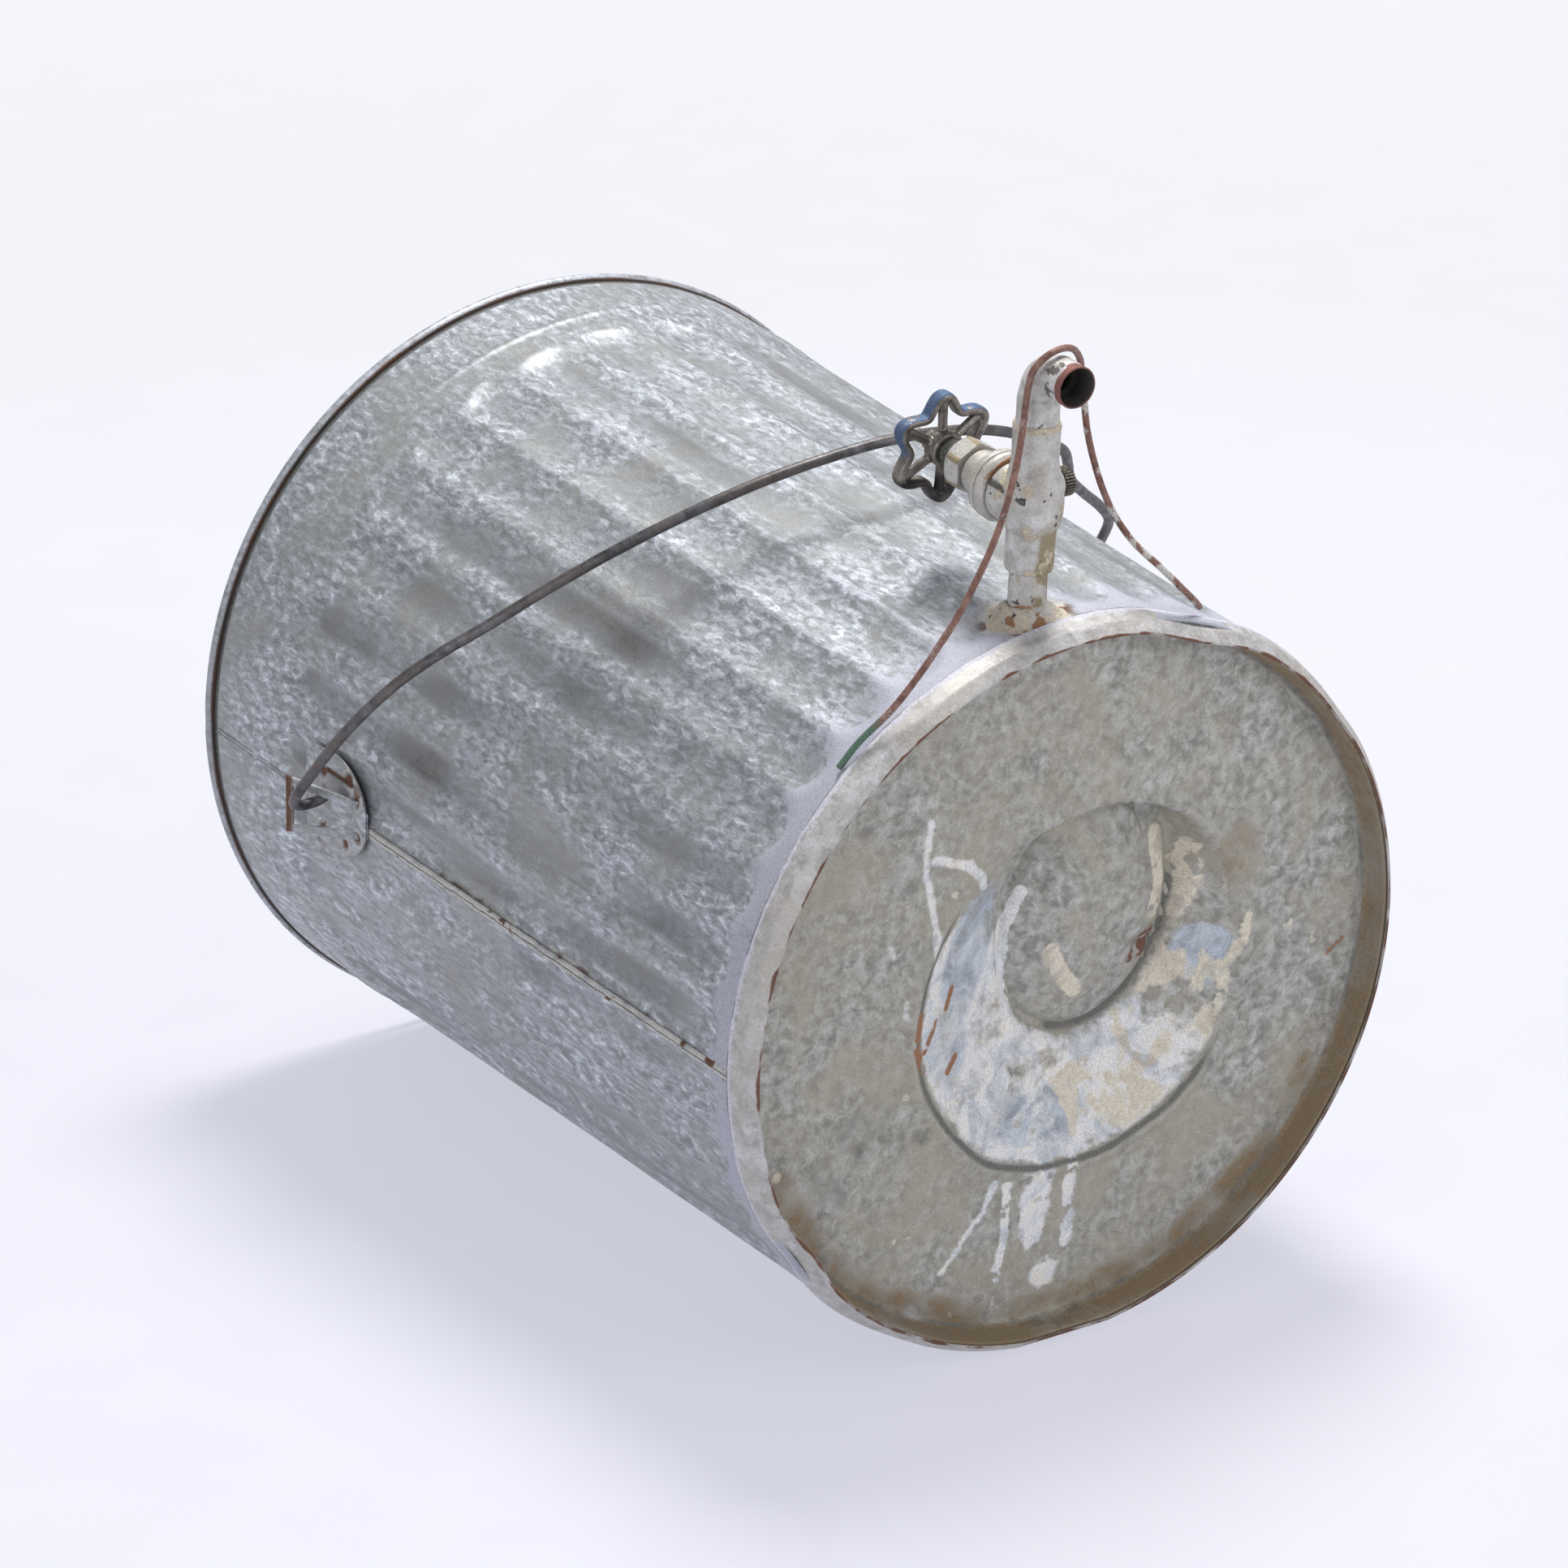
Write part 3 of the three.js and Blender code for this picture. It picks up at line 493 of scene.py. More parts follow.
def weathered(name, tones, size, masks=(), metallic=0.3, rough=(0.4, 0.65), bump=0.12,
              stretch=(1, 1, 1), tint=None, tint_size=60.0, pits=None, contrast=(0.36, 0.64)):
    """A mottled surface: tones from dark to light, a slow tint, fine grain, pits and masks.

    pits is (spacing, reach, colour), and masks are rows of (name, colour or tones, break-up, height).
    """
    s = Shader(name, metallic)
    coarse = s.noise(size, 5.0, 0.62, 0.4, stretch)
    grain = s.noise(size / 6.0, 3.0, 0.6, 0.2, stretch, (0.3, 0.1, 0.7))
    dust = s.noise(0.7, 2.0, 0.7)
    step = (contrast[1] - contrast[0]) / (len(tones) - 1)
    colour = s.ramp(coarse, [(contrast[0] + step * i, tone) for i, tone in enumerate(tones)])
    if tint:
        slow = s.noise(tint_size, 4.0, 0.55, 0.6, shift=(0.5, 0.9, 0.2))
        colour = s.mix(s.ramp(slow, [(0.42, 0.0), (0.66, 0.8)]), colour, tint)
    colour = s.mix(0.55, colour, s.ramp(grain, [(0.32, 0.72), (0.7, 1.22)]), "MULTIPLY")
    colour = s.mix(0.35, colour, s.ramp(dust, [(0.3, 0.7), (0.72, 1.25)]), "MULTIPLY")
    heights = [(coarse, bump * 2), (grain, bump)]
    if pits:
        spots = s.ramp(s.cells(pits[0]), [(0.0, 1.0), (pits[1], 0.0)])
        patches = s.noise(pits[0] * 4.0, 3.0, 0.6, shift=(0.1, 0.4, 0.3))
        gate = s.ramp(patches, [(0.5, 0.0), (0.62, 1.0)])
        spots = s.mix(1.0, spots, gate, "MULTIPLY")
        colour = s.mix(spots, colour, pits[2])
        heights.append((spots, -0.15))
    roughness = s.ramp(grain, [(0.3, rough[0]), (0.7, rough[1])])
    for attribute, layer, amount, depth in masks:
        fac = s.broken(s.mask(attribute), coarse if amount < 1.0 else grain, amount)
        if isinstance(layer, list):
            drift = s.noise(16.0, 4.0, 0.6, 0.8, shift=(0.7, 0.2, 0.4))
            layer = s.ramp(drift, [(0.36 + 0.14 * i, tone) for i, tone in enumerate(layer)])
        layer_colour = s.mix(0.7, layer, s.ramp(grain, [(0.3, 0.62), (0.72, 1.25)]), "MULTIPLY")
        colour = s.mix(fac, colour, layer_colour)
        roughness = s.mix(fac, roughness, (0.72, 0.72, 0.72))
        heights.append((fac, depth))
    return s.finish(colour, roughness, heights)


LIME = (0.55, 0.54, 0.51)
CREAM = (0.55, 0.48, 0.37)
RUST = (0.15, 0.07, 0.042)
ORANGE = (0.30, 0.15, 0.075)
DARK = (0.075, 0.075, 0.07)
PAINT = (0.43, 0.44, 0.50)

# Besides the overspray, its paint layer carries painted highlight along the flute ridges and across the
# upper side. Its dark layer is painted shade in the flute hollows, under the rolled rim, inside the
# can, along the seam folds and in the ear slots, besides darker tongue ends.
galvanised = weathered(
    "galvanised_can",
    [(0.22, 0.23, 0.24), (0.31, 0.33, 0.355), (0.42, 0.445, 0.485), (0.66, 0.70, 0.76)],
    3.0, [("paint", PAINT, 0.9, 0.05), ("lime", LIME, 1.1, 0.3), ("dark", DARK, 0.6, -0.1),
          ("rust", RUST, 1.2, 0.15)],
    metallic=0.45, rough=(0.36, 0.58), bump=0.03, stretch=(0.45, 1, 1),
    tint=(0.29, 0.295, 0.285), tint_size=45.0, contrast=(0.38, 0.66))
painted = weathered(
    "aluminium_paint", [(0.37, 0.36, 0.34), (0.50, 0.49, 0.475), (0.60, 0.59, 0.58)],
    7.0, [("stain", (0.30, 0.25, 0.16), 1.2, -0.02), ("lime", CREAM, 1.1, 0.25),
          ("dark", DARK, 1.4, -0.1), ("rust", ORANGE, 1.1, 0.1)],
    metallic=0.35, rough=(0.33, 0.6), bump=0.06, tint=(0.40, 0.375, 0.32), tint_size=30.0,
    pits=(3.2, 0.18, (0.22, 0.2, 0.17)))
# Its lavender paint layer is overspray with a painted highlight on the hoop's top edge, and its dark
# layer is painted shade along that edge.
hoop_paint = weathered(
    "hoop_paint", [(0.34, 0.33, 0.32), (0.45, 0.44, 0.43), (0.55, 0.54, 0.55)],
    7.0, [("paint", (0.56, 0.555, 0.62), 0.9, 0.03), ("dark", (0.17, 0.16, 0.15), 1.3, -0.08),
          ("rust", RUST, 0.8, 0.1)],
    metallic=0.3, rough=(0.4, 0.65), bump=0.04, tint=(0.44, 0.42, 0.38), tint_size=50.0)
# Its dark layer is partly painted shade along the bowl's crease, edge and corner ring, and its lime
# layer is partly painted light on the lower-left slope.
pan_finish = weathered(
    "pan_zinc",
    [(0.22, 0.215, 0.195), (0.31, 0.305, 0.275), (0.40, 0.40, 0.375), (0.50, 0.495, 0.465)],
    5.0, [("brown", (0.26, 0.195, 0.12), 0.9, 0.0),
          ("lime", [(0.50, 0.53, 0.56), (0.72, 0.72, 0.72), (0.76, 0.73, 0.66),
                    (0.54, 0.53, 0.49)], 0.95, 0.2),
          ("blue", [(0.30, 0.325, 0.36), (0.43, 0.475, 0.53), (0.56, 0.60, 0.65)], 0.9, 0.02),
          ("cream", [(0.50, 0.46, 0.39), (0.68, 0.63, 0.52), (0.58, 0.52, 0.41)], 0.95, 0.25),
          ("dark", (0.15, 0.15, 0.135), 0.9, -0.05), ("rust", RUST, 0.9, 0.1),
          ("orange", ORANGE, 0.95, 0.1)],
    metallic=0.2, rough=(0.5, 0.72), bump=0.05, tint=(0.36, 0.335, 0.265), tint_size=38.0,
    pits=(9.0, 0.09, (0.50, 0.42, 0.32)), contrast=(0.36, 0.68))
bail_steel = weathered(
    "bail_steel", [(0.055, 0.05, 0.05), (0.10, 0.095, 0.10), (0.17, 0.165, 0.175)],
    8.0, [("rust", (0.16, 0.09, 0.06), 1.0, 0.02)], metallic=0.7, rough=(0.38, 0.6), bump=0.04,
    tint=(0.15, 0.13, 0.12), tint_size=25.0)
rust_wire = weathered(
    "rusted_wire", [(0.13, 0.065, 0.05), (0.21, 0.105, 0.08), (0.28, 0.17, 0.14)],
    5.0, [("lime", (0.50, 0.48, 0.45), 1.3, 0.05), ("green", (0.10, 0.17, 0.12), 1.1, 0.05)],
    metallic=0.25, rough=(0.45, 0.7), bump=0.05)
# On the handwheel its dark layer is painted shade on the underside.
wheel_iron = weathered(
    "worn_iron", [(0.12, 0.105, 0.09), (0.21, 0.19, 0.165), (0.33, 0.305, 0.275)],
    6.0, [("blue", (0.10, 0.145, 0.24), 1.0, 0.05), ("dark", (0.06, 0.055, 0.055), 0.8, 0.0)],
    metallic=0.75, rough=(0.28, 0.5), bump=0.06, tint=(0.17, 0.15, 0.13), tint_size=14.0)
# Its dark layer is painted shade in the knurl grooves.
bronze = weathered(
    "aged_bronze", [(0.07, 0.06, 0.045), (0.13, 0.115, 0.09), (0.26, 0.24, 0.20)],
    3.0, [("dark", (0.04, 0.035, 0.03), 1.0, -0.05)], metallic=0.7, rough=(0.35, 0.55), bump=0.05)
brass = weathered(
    "aged_brass", [(0.16, 0.12, 0.06), (0.27, 0.21, 0.11), (0.38, 0.31, 0.18)],
    4.0, metallic=0.85, rough=(0.3, 0.5), bump=0.03)
copper = weathered(
    "aged_copper", [(0.13, 0.075, 0.055), (0.20, 0.105, 0.08), (0.28, 0.16, 0.12)],
    4.0, [("paint", (0.52, 0.50, 0.48), 1.2, 0.05), ("dark", (0.06, 0.05, 0.045), 0.9, 0.0)],
    metallic=0.5, rough=(0.4, 0.6), bump=0.04)
rubber = weathered(
    "black_rubber", [(0.02, 0.02, 0.02), (0.035, 0.034, 0.033), (0.05, 0.05, 0.048)],
    2.0, metallic=0.0, rough=(0.6, 0.85), bump=0.02)
# Its inside layer is painted shade in the bore.
elbow_paint = weathered(
    "chipped_elbow_paint", [(0.38, 0.37, 0.35), (0.50, 0.49, 0.475), (0.60, 0.59, 0.58)],
    6.0, [("dark", (0.13, 0.12, 0.11), 1.5, -0.1), ("bare", (0.20, 0.085, 0.07), 1.0, -0.05),
          ("inside", (0.085, 0.075, 0.07), 0.6, 0.0), ("lime", CREAM, 1.1, 0.2)],
    metallic=0.35, rough=(0.35, 0.6), bump=0.06, pits=(2.4, 0.2, (0.18, 0.16, 0.14)))


# ---- Can shape ----
def rest_flat(degrees, z):
    """How far a ring is pushed in where the can lies on the ground, opposite the valve."""
    off = np.cos(np.radians(degrees - 180))
    safe = np.where(off < 0.9, 1.0, off)
    cut = 1 - math.cos(FLAT_HALF) / safe
    base = np.maximum(0, HOOP_RADIUS * cut) * (1 - smooth((z - HOOP_HEIGHT) / FLAT_FADE))
    top = np.maximum(0, RIM_RADIUS * cut) * smooth((z - (WALL_TOP - FLAT_FADE)) / FLAT_FADE)
    return np.where(off < 0.9, 0.0, np.where(z < CAN_HEIGHT / 2, base, top))


def from_ridge(degrees):
    """0 in the middle of a flute, 1 on the ridge between two."""
    turns = (degrees - SEAM_ANGLE) * FLUTES / 360.0
    return np.abs(turns - np.floor(turns) - 0.5) * 2


def flute_depth(degrees, z):
    from_end = np.minimum(z - FLUTE_BOTTOM, FLUTE_TOP - z)
    end = np.clip((FLUTE_END - from_end) / FLUTE_END, 0, 2)
    scoop = 1 - from_ridge(degrees) ** 2.0 - end ** 2.2
    soft = 0.05
    return FLUTE_DEPTH * 0.5 * (scoop + np.sqrt(scoop * scoop + soft * soft) - soft * (scoop < 0))


DENTS = ((-19, 2, 8, 20, 4.2), (124, 2, 6, 16, 4.0), (-52, 8, 6, 14, 1.4), (60, 8, 5, 12, 0.5),
         (150, 8, 6, 12, 0.8), (-8, 250, 7, 40, 0.8), (40, 200, 6, 60, 0.5), (130, 300, 9, 40, 0.9),
         (-70, 120, 8, 50, 0.9))


def dents(degrees, z):
    """Knocks along the hoop and the wall: rows of angle, height, half width, half height, depth."""
    total = np.zeros(np.broadcast(degrees, z).shape)
    for angle, height, wide, tall, depth in DENTS:
        total = total + depth * np.exp(-((degrees - angle) / wide) ** 2 - ((z - height) / tall) ** 2)
    return total


def wall_masks(base, degrees, z, flute):
    """Overspray, limey crust and rust on the outside of the wall, with painted shade in the flute
    hollows and under the rolled rim, and painted highlight on the flute ridges and across the upper
    side.
    """
    def patches(size, octaves, seed):
        return fbm(base, size, octaves, seed)

    band = smooth((36 - z) / 22 + 0.45 + 0.35 * patches(9, 4, 21))
    beside_valve = smooth((75 - z) / 60) * smooth((62 - np.abs(degrees - 4)) / 30)
    tops = 0.55 * smooth((flute - 1.2) / 0.5) * smooth((55 - z) / 30)
    # Painted reflection: extra lavender paint across the upper side of the lying can, standing in for
    # the light it reflects from above.
    upper_side_sheen = 0.25 * smooth((60 - np.abs(degrees)) / 40)
    paint = (0.78 + 0.3 * patches(24, 3, 64)) * band * (1 - 0.75 * smooth((flute - 0.5) / 1.0))
    paint = np.clip(paint + 0.7 * beside_valve * (1 - tops) + upper_side_sheen * 0.6, 0, 1)
    # Painted highlight: lighter paint along each flute ridge, standing in for the light the ridges
    # catch.
    wear_and_highlight = 0.42 * np.exp(-((1 - from_ridge(degrees)) / 0.07) ** 2)
    wear_and_highlight = wear_and_highlight * smooth((z - FLUTE_BOTTOM) / 20) * smooth((FLUTE_TOP - z) / 20)
    paint = np.maximum(paint, wear_and_highlight * (1 + patches(16, 3, 62)))

    off_seam = np.abs((degrees - SEAM_ANGLE) * math.pi / 180 * wall_radius(z))
    crust = smooth((8 - off_seam) / 6) * smooth((z - 50) / 70) * smooth((305 - z) / 10)
    crust = crust * (0.5 + 0.6 * patches(10, 4, 31))
    pitting = smooth((5 - off_seam) / 4) * smooth((patches(7, 3, 41) - 0.15) / 0.2)
    pitting = pitting * smooth((290 - z) / 30)
    off_pipe = np.hypot((degrees - VALVE_ANGLE) * math.pi / 180 * BASE_RADIUS, z - VALVE_HEIGHT)
    crust = np.maximum(crust, smooth((26 - off_pipe) / 12 + 0.3 * patches(8, 4, 51)))
    specks = smooth((patches(9, 3, 61) - 0.1) / 0.15)
    pitting = np.maximum(pitting, 0.8 * smooth((24 - off_pipe) / 8) * specks)

    # Painted shade: the deepest part of each flute hollow is darkened, standing in for the shading of
    # the flutes.
    flute_shade = 0.46 * smooth((flute - 0.1) / 0.3) * smooth((flute - 1.4) / 1.2)
    flute_shade = flute_shade * (0.8 + 0.8 * patches((30, 30, 90), 3, 63))
    # The top edge of the wall, tucked under the rolled rim, is darkened as painted shade.
    dark = np.maximum(smooth((z - 423) / 2.0) * 0.8, flute_shade)
    return {"paint": paint, "lime": crust, "rust": pitting, "dark": dark}


def can_wall():
    columns = FLUTES * 12
    heights = np.unique(np.concatenate([
        [WALL_BOTTOM, 12.0, 16.5, 20.0], np.linspace(22, 46, 17), np.linspace(46, 348, 60),
        np.linspace(348, 374, 17), [380.0, 385.0], np.linspace(386, 394, 9),
        [400, 408, 416, 422, 424.5, WALL_TOP]]))
    degrees = SEAM_ANGLE + 360.0 * np.arange(columns) / columns
    degrees = np.where(degrees > 180, degrees - 360, degrees)[None, :]
    z = heights[:, None]
    flute = flute_depth(degrees, z)
    base = place(wall_radius(z), degrees, z)
    lump = 0.35 * fbm(base, 70, 3, 11) + 0.12 * fbm(base, 18, 3, 12)
    bead = 0.7 * np.exp(-((z - 390) / 2.0) ** 2)
    tuck = np.where(z < 8, 0.8, 0.0)
    radius = wall_radius(z) - flute - rest_flat(degrees, z) - tuck + bead + np.minimum(lump, 0.25)
    radius = radius - dents(degrees, z) * (z > 16)
    loop = np.concatenate([place(radius, degrees, z), place(radius - SHEET, degrees, z)[::-1]])
    masks = wall_masks(base, degrees + 0 * z, z + 0 * degrees, flute)
    for key, value in masks.items():
        # The inside face of the sheet gets dark 0.25: painted shade inside the can.
        inside = 0.25 if key == "dark" else 0.0
        masks[key] = np.concatenate([value, np.full_like(value, inside)])
    make("can_wall_sheet", from_can(loop), closed_grid(loop), galvanised, "can",
         masks, ["can_wall"])


def rolled_rim():
    degrees = all_round(360)
    a = np.radians(np.arange(18) * 360.0 / 18)[:, None]
    wobble = fbm(place(180, degrees, 0 * degrees), 40, 3, 71)[None, :]
    lap = np.exp(-((degrees - SEAM_ANGLE + 1) / 1.2) ** 2)[None, :]
    roll = RIM_ROLL * (0.97 + 0.03 * wobble)
    r = RIM_RADIUS - RIM_ROLL + roll * np.cos(a) - 0.25 * lap
    z = CAN_HEIGHT - RIM_ROLL + roll * np.sin(a) * (1 - 0.06 * lap)
    r = r - rest_flat(degrees[None, :] + 0 * a, z)
    grid = place(r, degrees[None, :], z)
    noise = fbm(grid, 12, 4, 72)
    # The dark mask on the roll's underside, where it curls in against the wall, is painted shade.
    masks = {"paint": 0.45 + 0.25 * noise,
             "rust": smooth((-np.sin(a) - 0.6) / 0.3) * (0.5 + 0.5 * noise),
             "dark": smooth((-np.sin(a) - 0.8) / 0.2) + 0 * r, "lime": 0 * r}
    make("rim_roll", from_can(grid), closed_grid(grid), galvanised, "can", masks,
         ["rolled_rim", "rim_wire"])


def base_hoop():
    degrees = all_round(540)
    profile = [(160.5, 0), (164.6, 5.6), (166.5, 14.9), (166.3, 15.5), (165.4, 15.5), (163.6, 6.4),
               (159.4, 0.6)]
    profile = fine(rounded(profile, 1.0, 4), 1.6)
    r, z = profile[:, 0][:, None], profile[:, 1][:, None]
    ring = place(165, degrees, 0 * degrees)
    lift = smooth((z - 8) / 7)
    r = r + lift * (0.25 * fbm(ring, 26, 3, 81)[None, :] - 0.15) + 0 * degrees[None, :]
    z = np.maximum(z + lift * 0.7 * fbm(ring, 34, 3, 83)[None, :] - 0.4 * lift, 0.05)
    degrees = degrees[None, :] + 0 * r
    r = r - dents(degrees, z) * 0.8 - rest_flat(degrees, z)
    grid = place(r, degrees, z)
    noise = fbm(grid, 9, 4, 84)
    # On the hoop, the dark mask along the top edge is painted shade in the gap to the wall, and the
    # paint mask on the upper part is overspray with a painted highlight along the lifted edge.
    masks = {"rust": 0.85 * smooth((1.0 - z + 1.2 * noise) / 1.0),
             "dark": smooth((z - 14.2 + 0.6 * noise) / 0.5) * 0.9 * smooth((noise + 0.35) / 0.3),
             "paint": smooth((z - 11.5 + 1.5 * noise) / 2.0) * smooth((r - 160) / 3)}
    make("hoop_band", from_can(grid), closed_grid(grid), hoop_paint, "can", masks,
         ["base_hoop"])


FOLDS = ((((62, -2), (47, 2), (33, 12)), 6.0, 2.2), (((-18, 34), (-20, 4), (-14, -27)), 4.5, -1.3),
         (((62, -2), (74, 20), (70, 50)), 6.0, -1.3), (((-66, 30), (-40, 36), (-20, 34)), 6.0, 0.9),
         (((-45, -58), (-20, -44), (8, -40)), 7.0, -0.8), (((40, -62), (52, -30), (62, -4)), 7.0, 1.0))


def pan_relief(y, x):
    """The crumpled dent in the pan, from across (y) and up (x): depth, and how far inside it is."""
    wobble = 4.0 * fbm(np.stack([y, x, 0 * x], -1), 45, 3, 91)
    inside = 83 - np.hypot(y - 10, x + 5) + wobble
    c, s = math.cos(math.radians(-12)), math.sin(math.radians(-12))
    v, w = (y - 23) * c + (x - 22) * s, -(y - 23) * s + (x - 22) * c
    off_floor = (np.hypot(v / 43.0, w / 55.0) - 1) * 48 + 0.5 * wobble
    t = np.where(inside <= 0, 0, inside / np.maximum(1e-6, inside + np.maximum(off_floor, 0)))
    depth = 17.0 * (0.6 * t + 0.4 * smooth(t))
    depth = depth - 9.0 * smooth(-off_floor / 32)
    crease = 3.4 * np.exp(-(off_floor / 3.4) ** 2) * smooth((inside - 6) / 12)
    lip = -1.6 * np.exp(-((inside + 2.5) / 3.5) ** 2)
    folds = 0.0
    for line, width, height in FOLDS:
        fold = height * near_line(y, x, line, 0.0, width * 2) * 2
        folds = folds + fold * smooth((inside + 4) / 10)
    return depth + crease + lip + folds, inside, off_floor


def pan_masks(flat, y, x, r, inside, off_floor):
    """Lime runs, old paint, rust and grime on the pan, with painted shade along the crease, the bowl's
    lower-left edge and the corner ring, and painted light on the lower-left slope, by across (y), up
    (x) and radius (r).
    """
    n5, n12, n25 = fbm(flat, 5, 4, 101), fbm(flat, 14, 4, 102), fbm(flat, 32, 4, 103)
    yy, xx = y + 3.0 * n12, x + 3.0 * fbm(flat, 14, 3, 104)

    def wear_and_highlight(low, span=0.3, noise=n5):
        return smooth((noise + low) / span)

    def quarter(turn, low):
        angle = np.degrees(np.arctan2(x + 5, y - 10))
        return smooth((np.cos(np.radians(angle + turn)) + low) / 0.4)

    slope = smooth(inside / 6) * smooth(off_floor / 5)
    lower_left, lower_right = quarter(125, 0.25), quarter(35, -0.15)
    # Light lime on the bowl's sloping wall, strongest on the lower-left slope: partly lime deposit,
    # partly painted light where that slope faces the lamps.
    slope_lime_and_light = lower_left * (0.72 + 0.55 * n12 + 0.25 * n5)
    slope_lime_and_light = slope_lime_and_light + lower_right * (0.30 + 0.7 * n12 + 0.3 * n5)
    lime = most(slope * np.clip(slope_lime_and_light, 0, 1), strokes(yy, xx, (
        (0.95, ((-8, -84), (-9, -108), (-4, -134)), 8.0, 6.0, wear_and_highlight(0.4, 0.4, n12) * wear_and_highlight(0.75, 0.4)),
        (1.0, ((9, -84), (8, -108), (6, -124)), 2.8, 4.0, wear_and_highlight(0.6, 0.4)),
        (0.9, ((-30, -86), (-42, -104), (-56, -122)), 1.8, 3.5, wear_and_highlight(0.6, 0.4)),
        (1.0, ((-24, -90), (-26, -108), (-28, -132)), 2.6, 2.0, wear_and_highlight(0.5)),
        (0.8, ((-70, 90), (-71, 64), (-65, 40), (-64, 22)), 2.0, 2.5, 1.0),
        (0.8, ((-66, 70), (-50, 66), (-40, 52)), 2.5, 3.0, 1.0),
        (0.6, ((-90, 40), (-82, 22), (-78, -2)), 2.0, 3.5, wear_and_highlight(0.6, 1.0)),
        (1.0, ((-12, 38), (-19, 22), (-20, 4), (-14, -22)), 2.6, 2.0, 1.0))))
    cream = most(strokes(yy, xx, (
        (0.9, ((55, 48), (58, 30), (57, 14)), 4.5, 3.0, wear_and_highlight(0.45)),
        (0.9, ((68, 42), (72, 26), (68, 12)), 4.5, 4.0, wear_and_highlight(0.25)),
        (0.9, ((0, 10), (6, -2), (14, -12)), 3.6, 3.0, wear_and_highlight(0.5)),
        (0.8, ((94, 8), (88, -14), (78, -42)), 3.0, 3.0, wear_and_highlight(0.35)))),
        0.75 * slope * lower_right * wear_and_highlight(0.05, 0.3, n12),
        0.7 * smooth((fbm(flat, 11, 3, 110) - 0.52) / 0.12))
    blue = most(near_spot(y, x, -44, 20, 16, 34, -14, 0.5) * (0.7 + 0.5 * n12),
                near_spot(y, x, -56, -16, 14, 22, 10, 0.5) * (0.6 + 0.6 * n12),
                0.8 * near_spot(y, x, -4, -64, 26, 12, 0, 0.6) * wear_and_highlight(0.3, 0.4, n12),
                0.9 * near_spot(y, x, 78, -8, 13, 14, 0, 0.4))
    arc = ((-14, 64), (2, 73), (18, 76), (40, 68))
    rust = most(near_spot(yy, xx, 50, -1, 11, 6.5, 35, 0.9) * wear_and_highlight(0.45, 0.4),
                0.7 * near_line(yy, x, arc, 0.6, 1.6) * wear_and_highlight(0.2, 0.3, n12),
                0.7 * near_line(y, xx, ((43, 66), (48, 50)), 0.5, 1.6))
    orange = strokes(y, x, (
        (1.0, ((-72, 2), (-74, -12), (-70, -24)), 2.0, 2.0, wear_and_highlight(0.6)),
        (1.0, ((-53, 8), (-56, 0)), 1.6, 1.5, 1.0),
        (1.0, ((-62, -4), (-69, -16), (-70, -22)), 1.4, 1.6, wear_and_highlight(0.4)),
        (1.0, ((-50, -24), (-55, -29)), 1.6, 1.5, 1.0),
        (0.9, ((140, -20), (148, -15)), 1.0, 1.2, 1.0)))
    rim_dirt = smooth((r - 138) / 12) * smooth((-x - 40 + 25 * n12) / 40) * (0.55 + 0.6 * n12)
    brown = most(rim_dirt, smooth((r - 155.5) / 1.5) * (0.75 + 0.5 * n25),
                 0.62 * near_spot(yy, xx, 84, 38, 26, 22, 0, 1.6) * wear_and_highlight(0.4, 1.0, n12))
    dark = most(0.62 * near_spot(yy, xx, -84, -52, 46, 26, 20, 1.2) * wear_and_highlight(0.25, 0.8, n12),
                0.6 * near_spot(yy, xx, -78, 50, 18, 34, 0, 1.2) * wear_and_highlight(0.2, 0.8, n12),
                # Painted shade: dark along the crease on the lower right, at the corner ring where the
                # pan meets its skirt, and along the bowl's lower-left edge.
                0.9 * np.exp(-(off_floor / 2.2) ** 2) * lower_right * smooth(inside / 8),
                0.7 * smooth((n25 - 0.35) / 0.3),
                0.75 * np.exp(-((r - 156.2) / 1.6) ** 2) * (0.7 + 0.5 * n12),
                0.9 * np.exp(-((inside - 0.5) / 1.8) ** 2) * lower_left)
    return {"lime": lime, "cream": cream, "blue": blue, "rust": rust, "orange": orange,
            "brown": brown, "dark": dark}


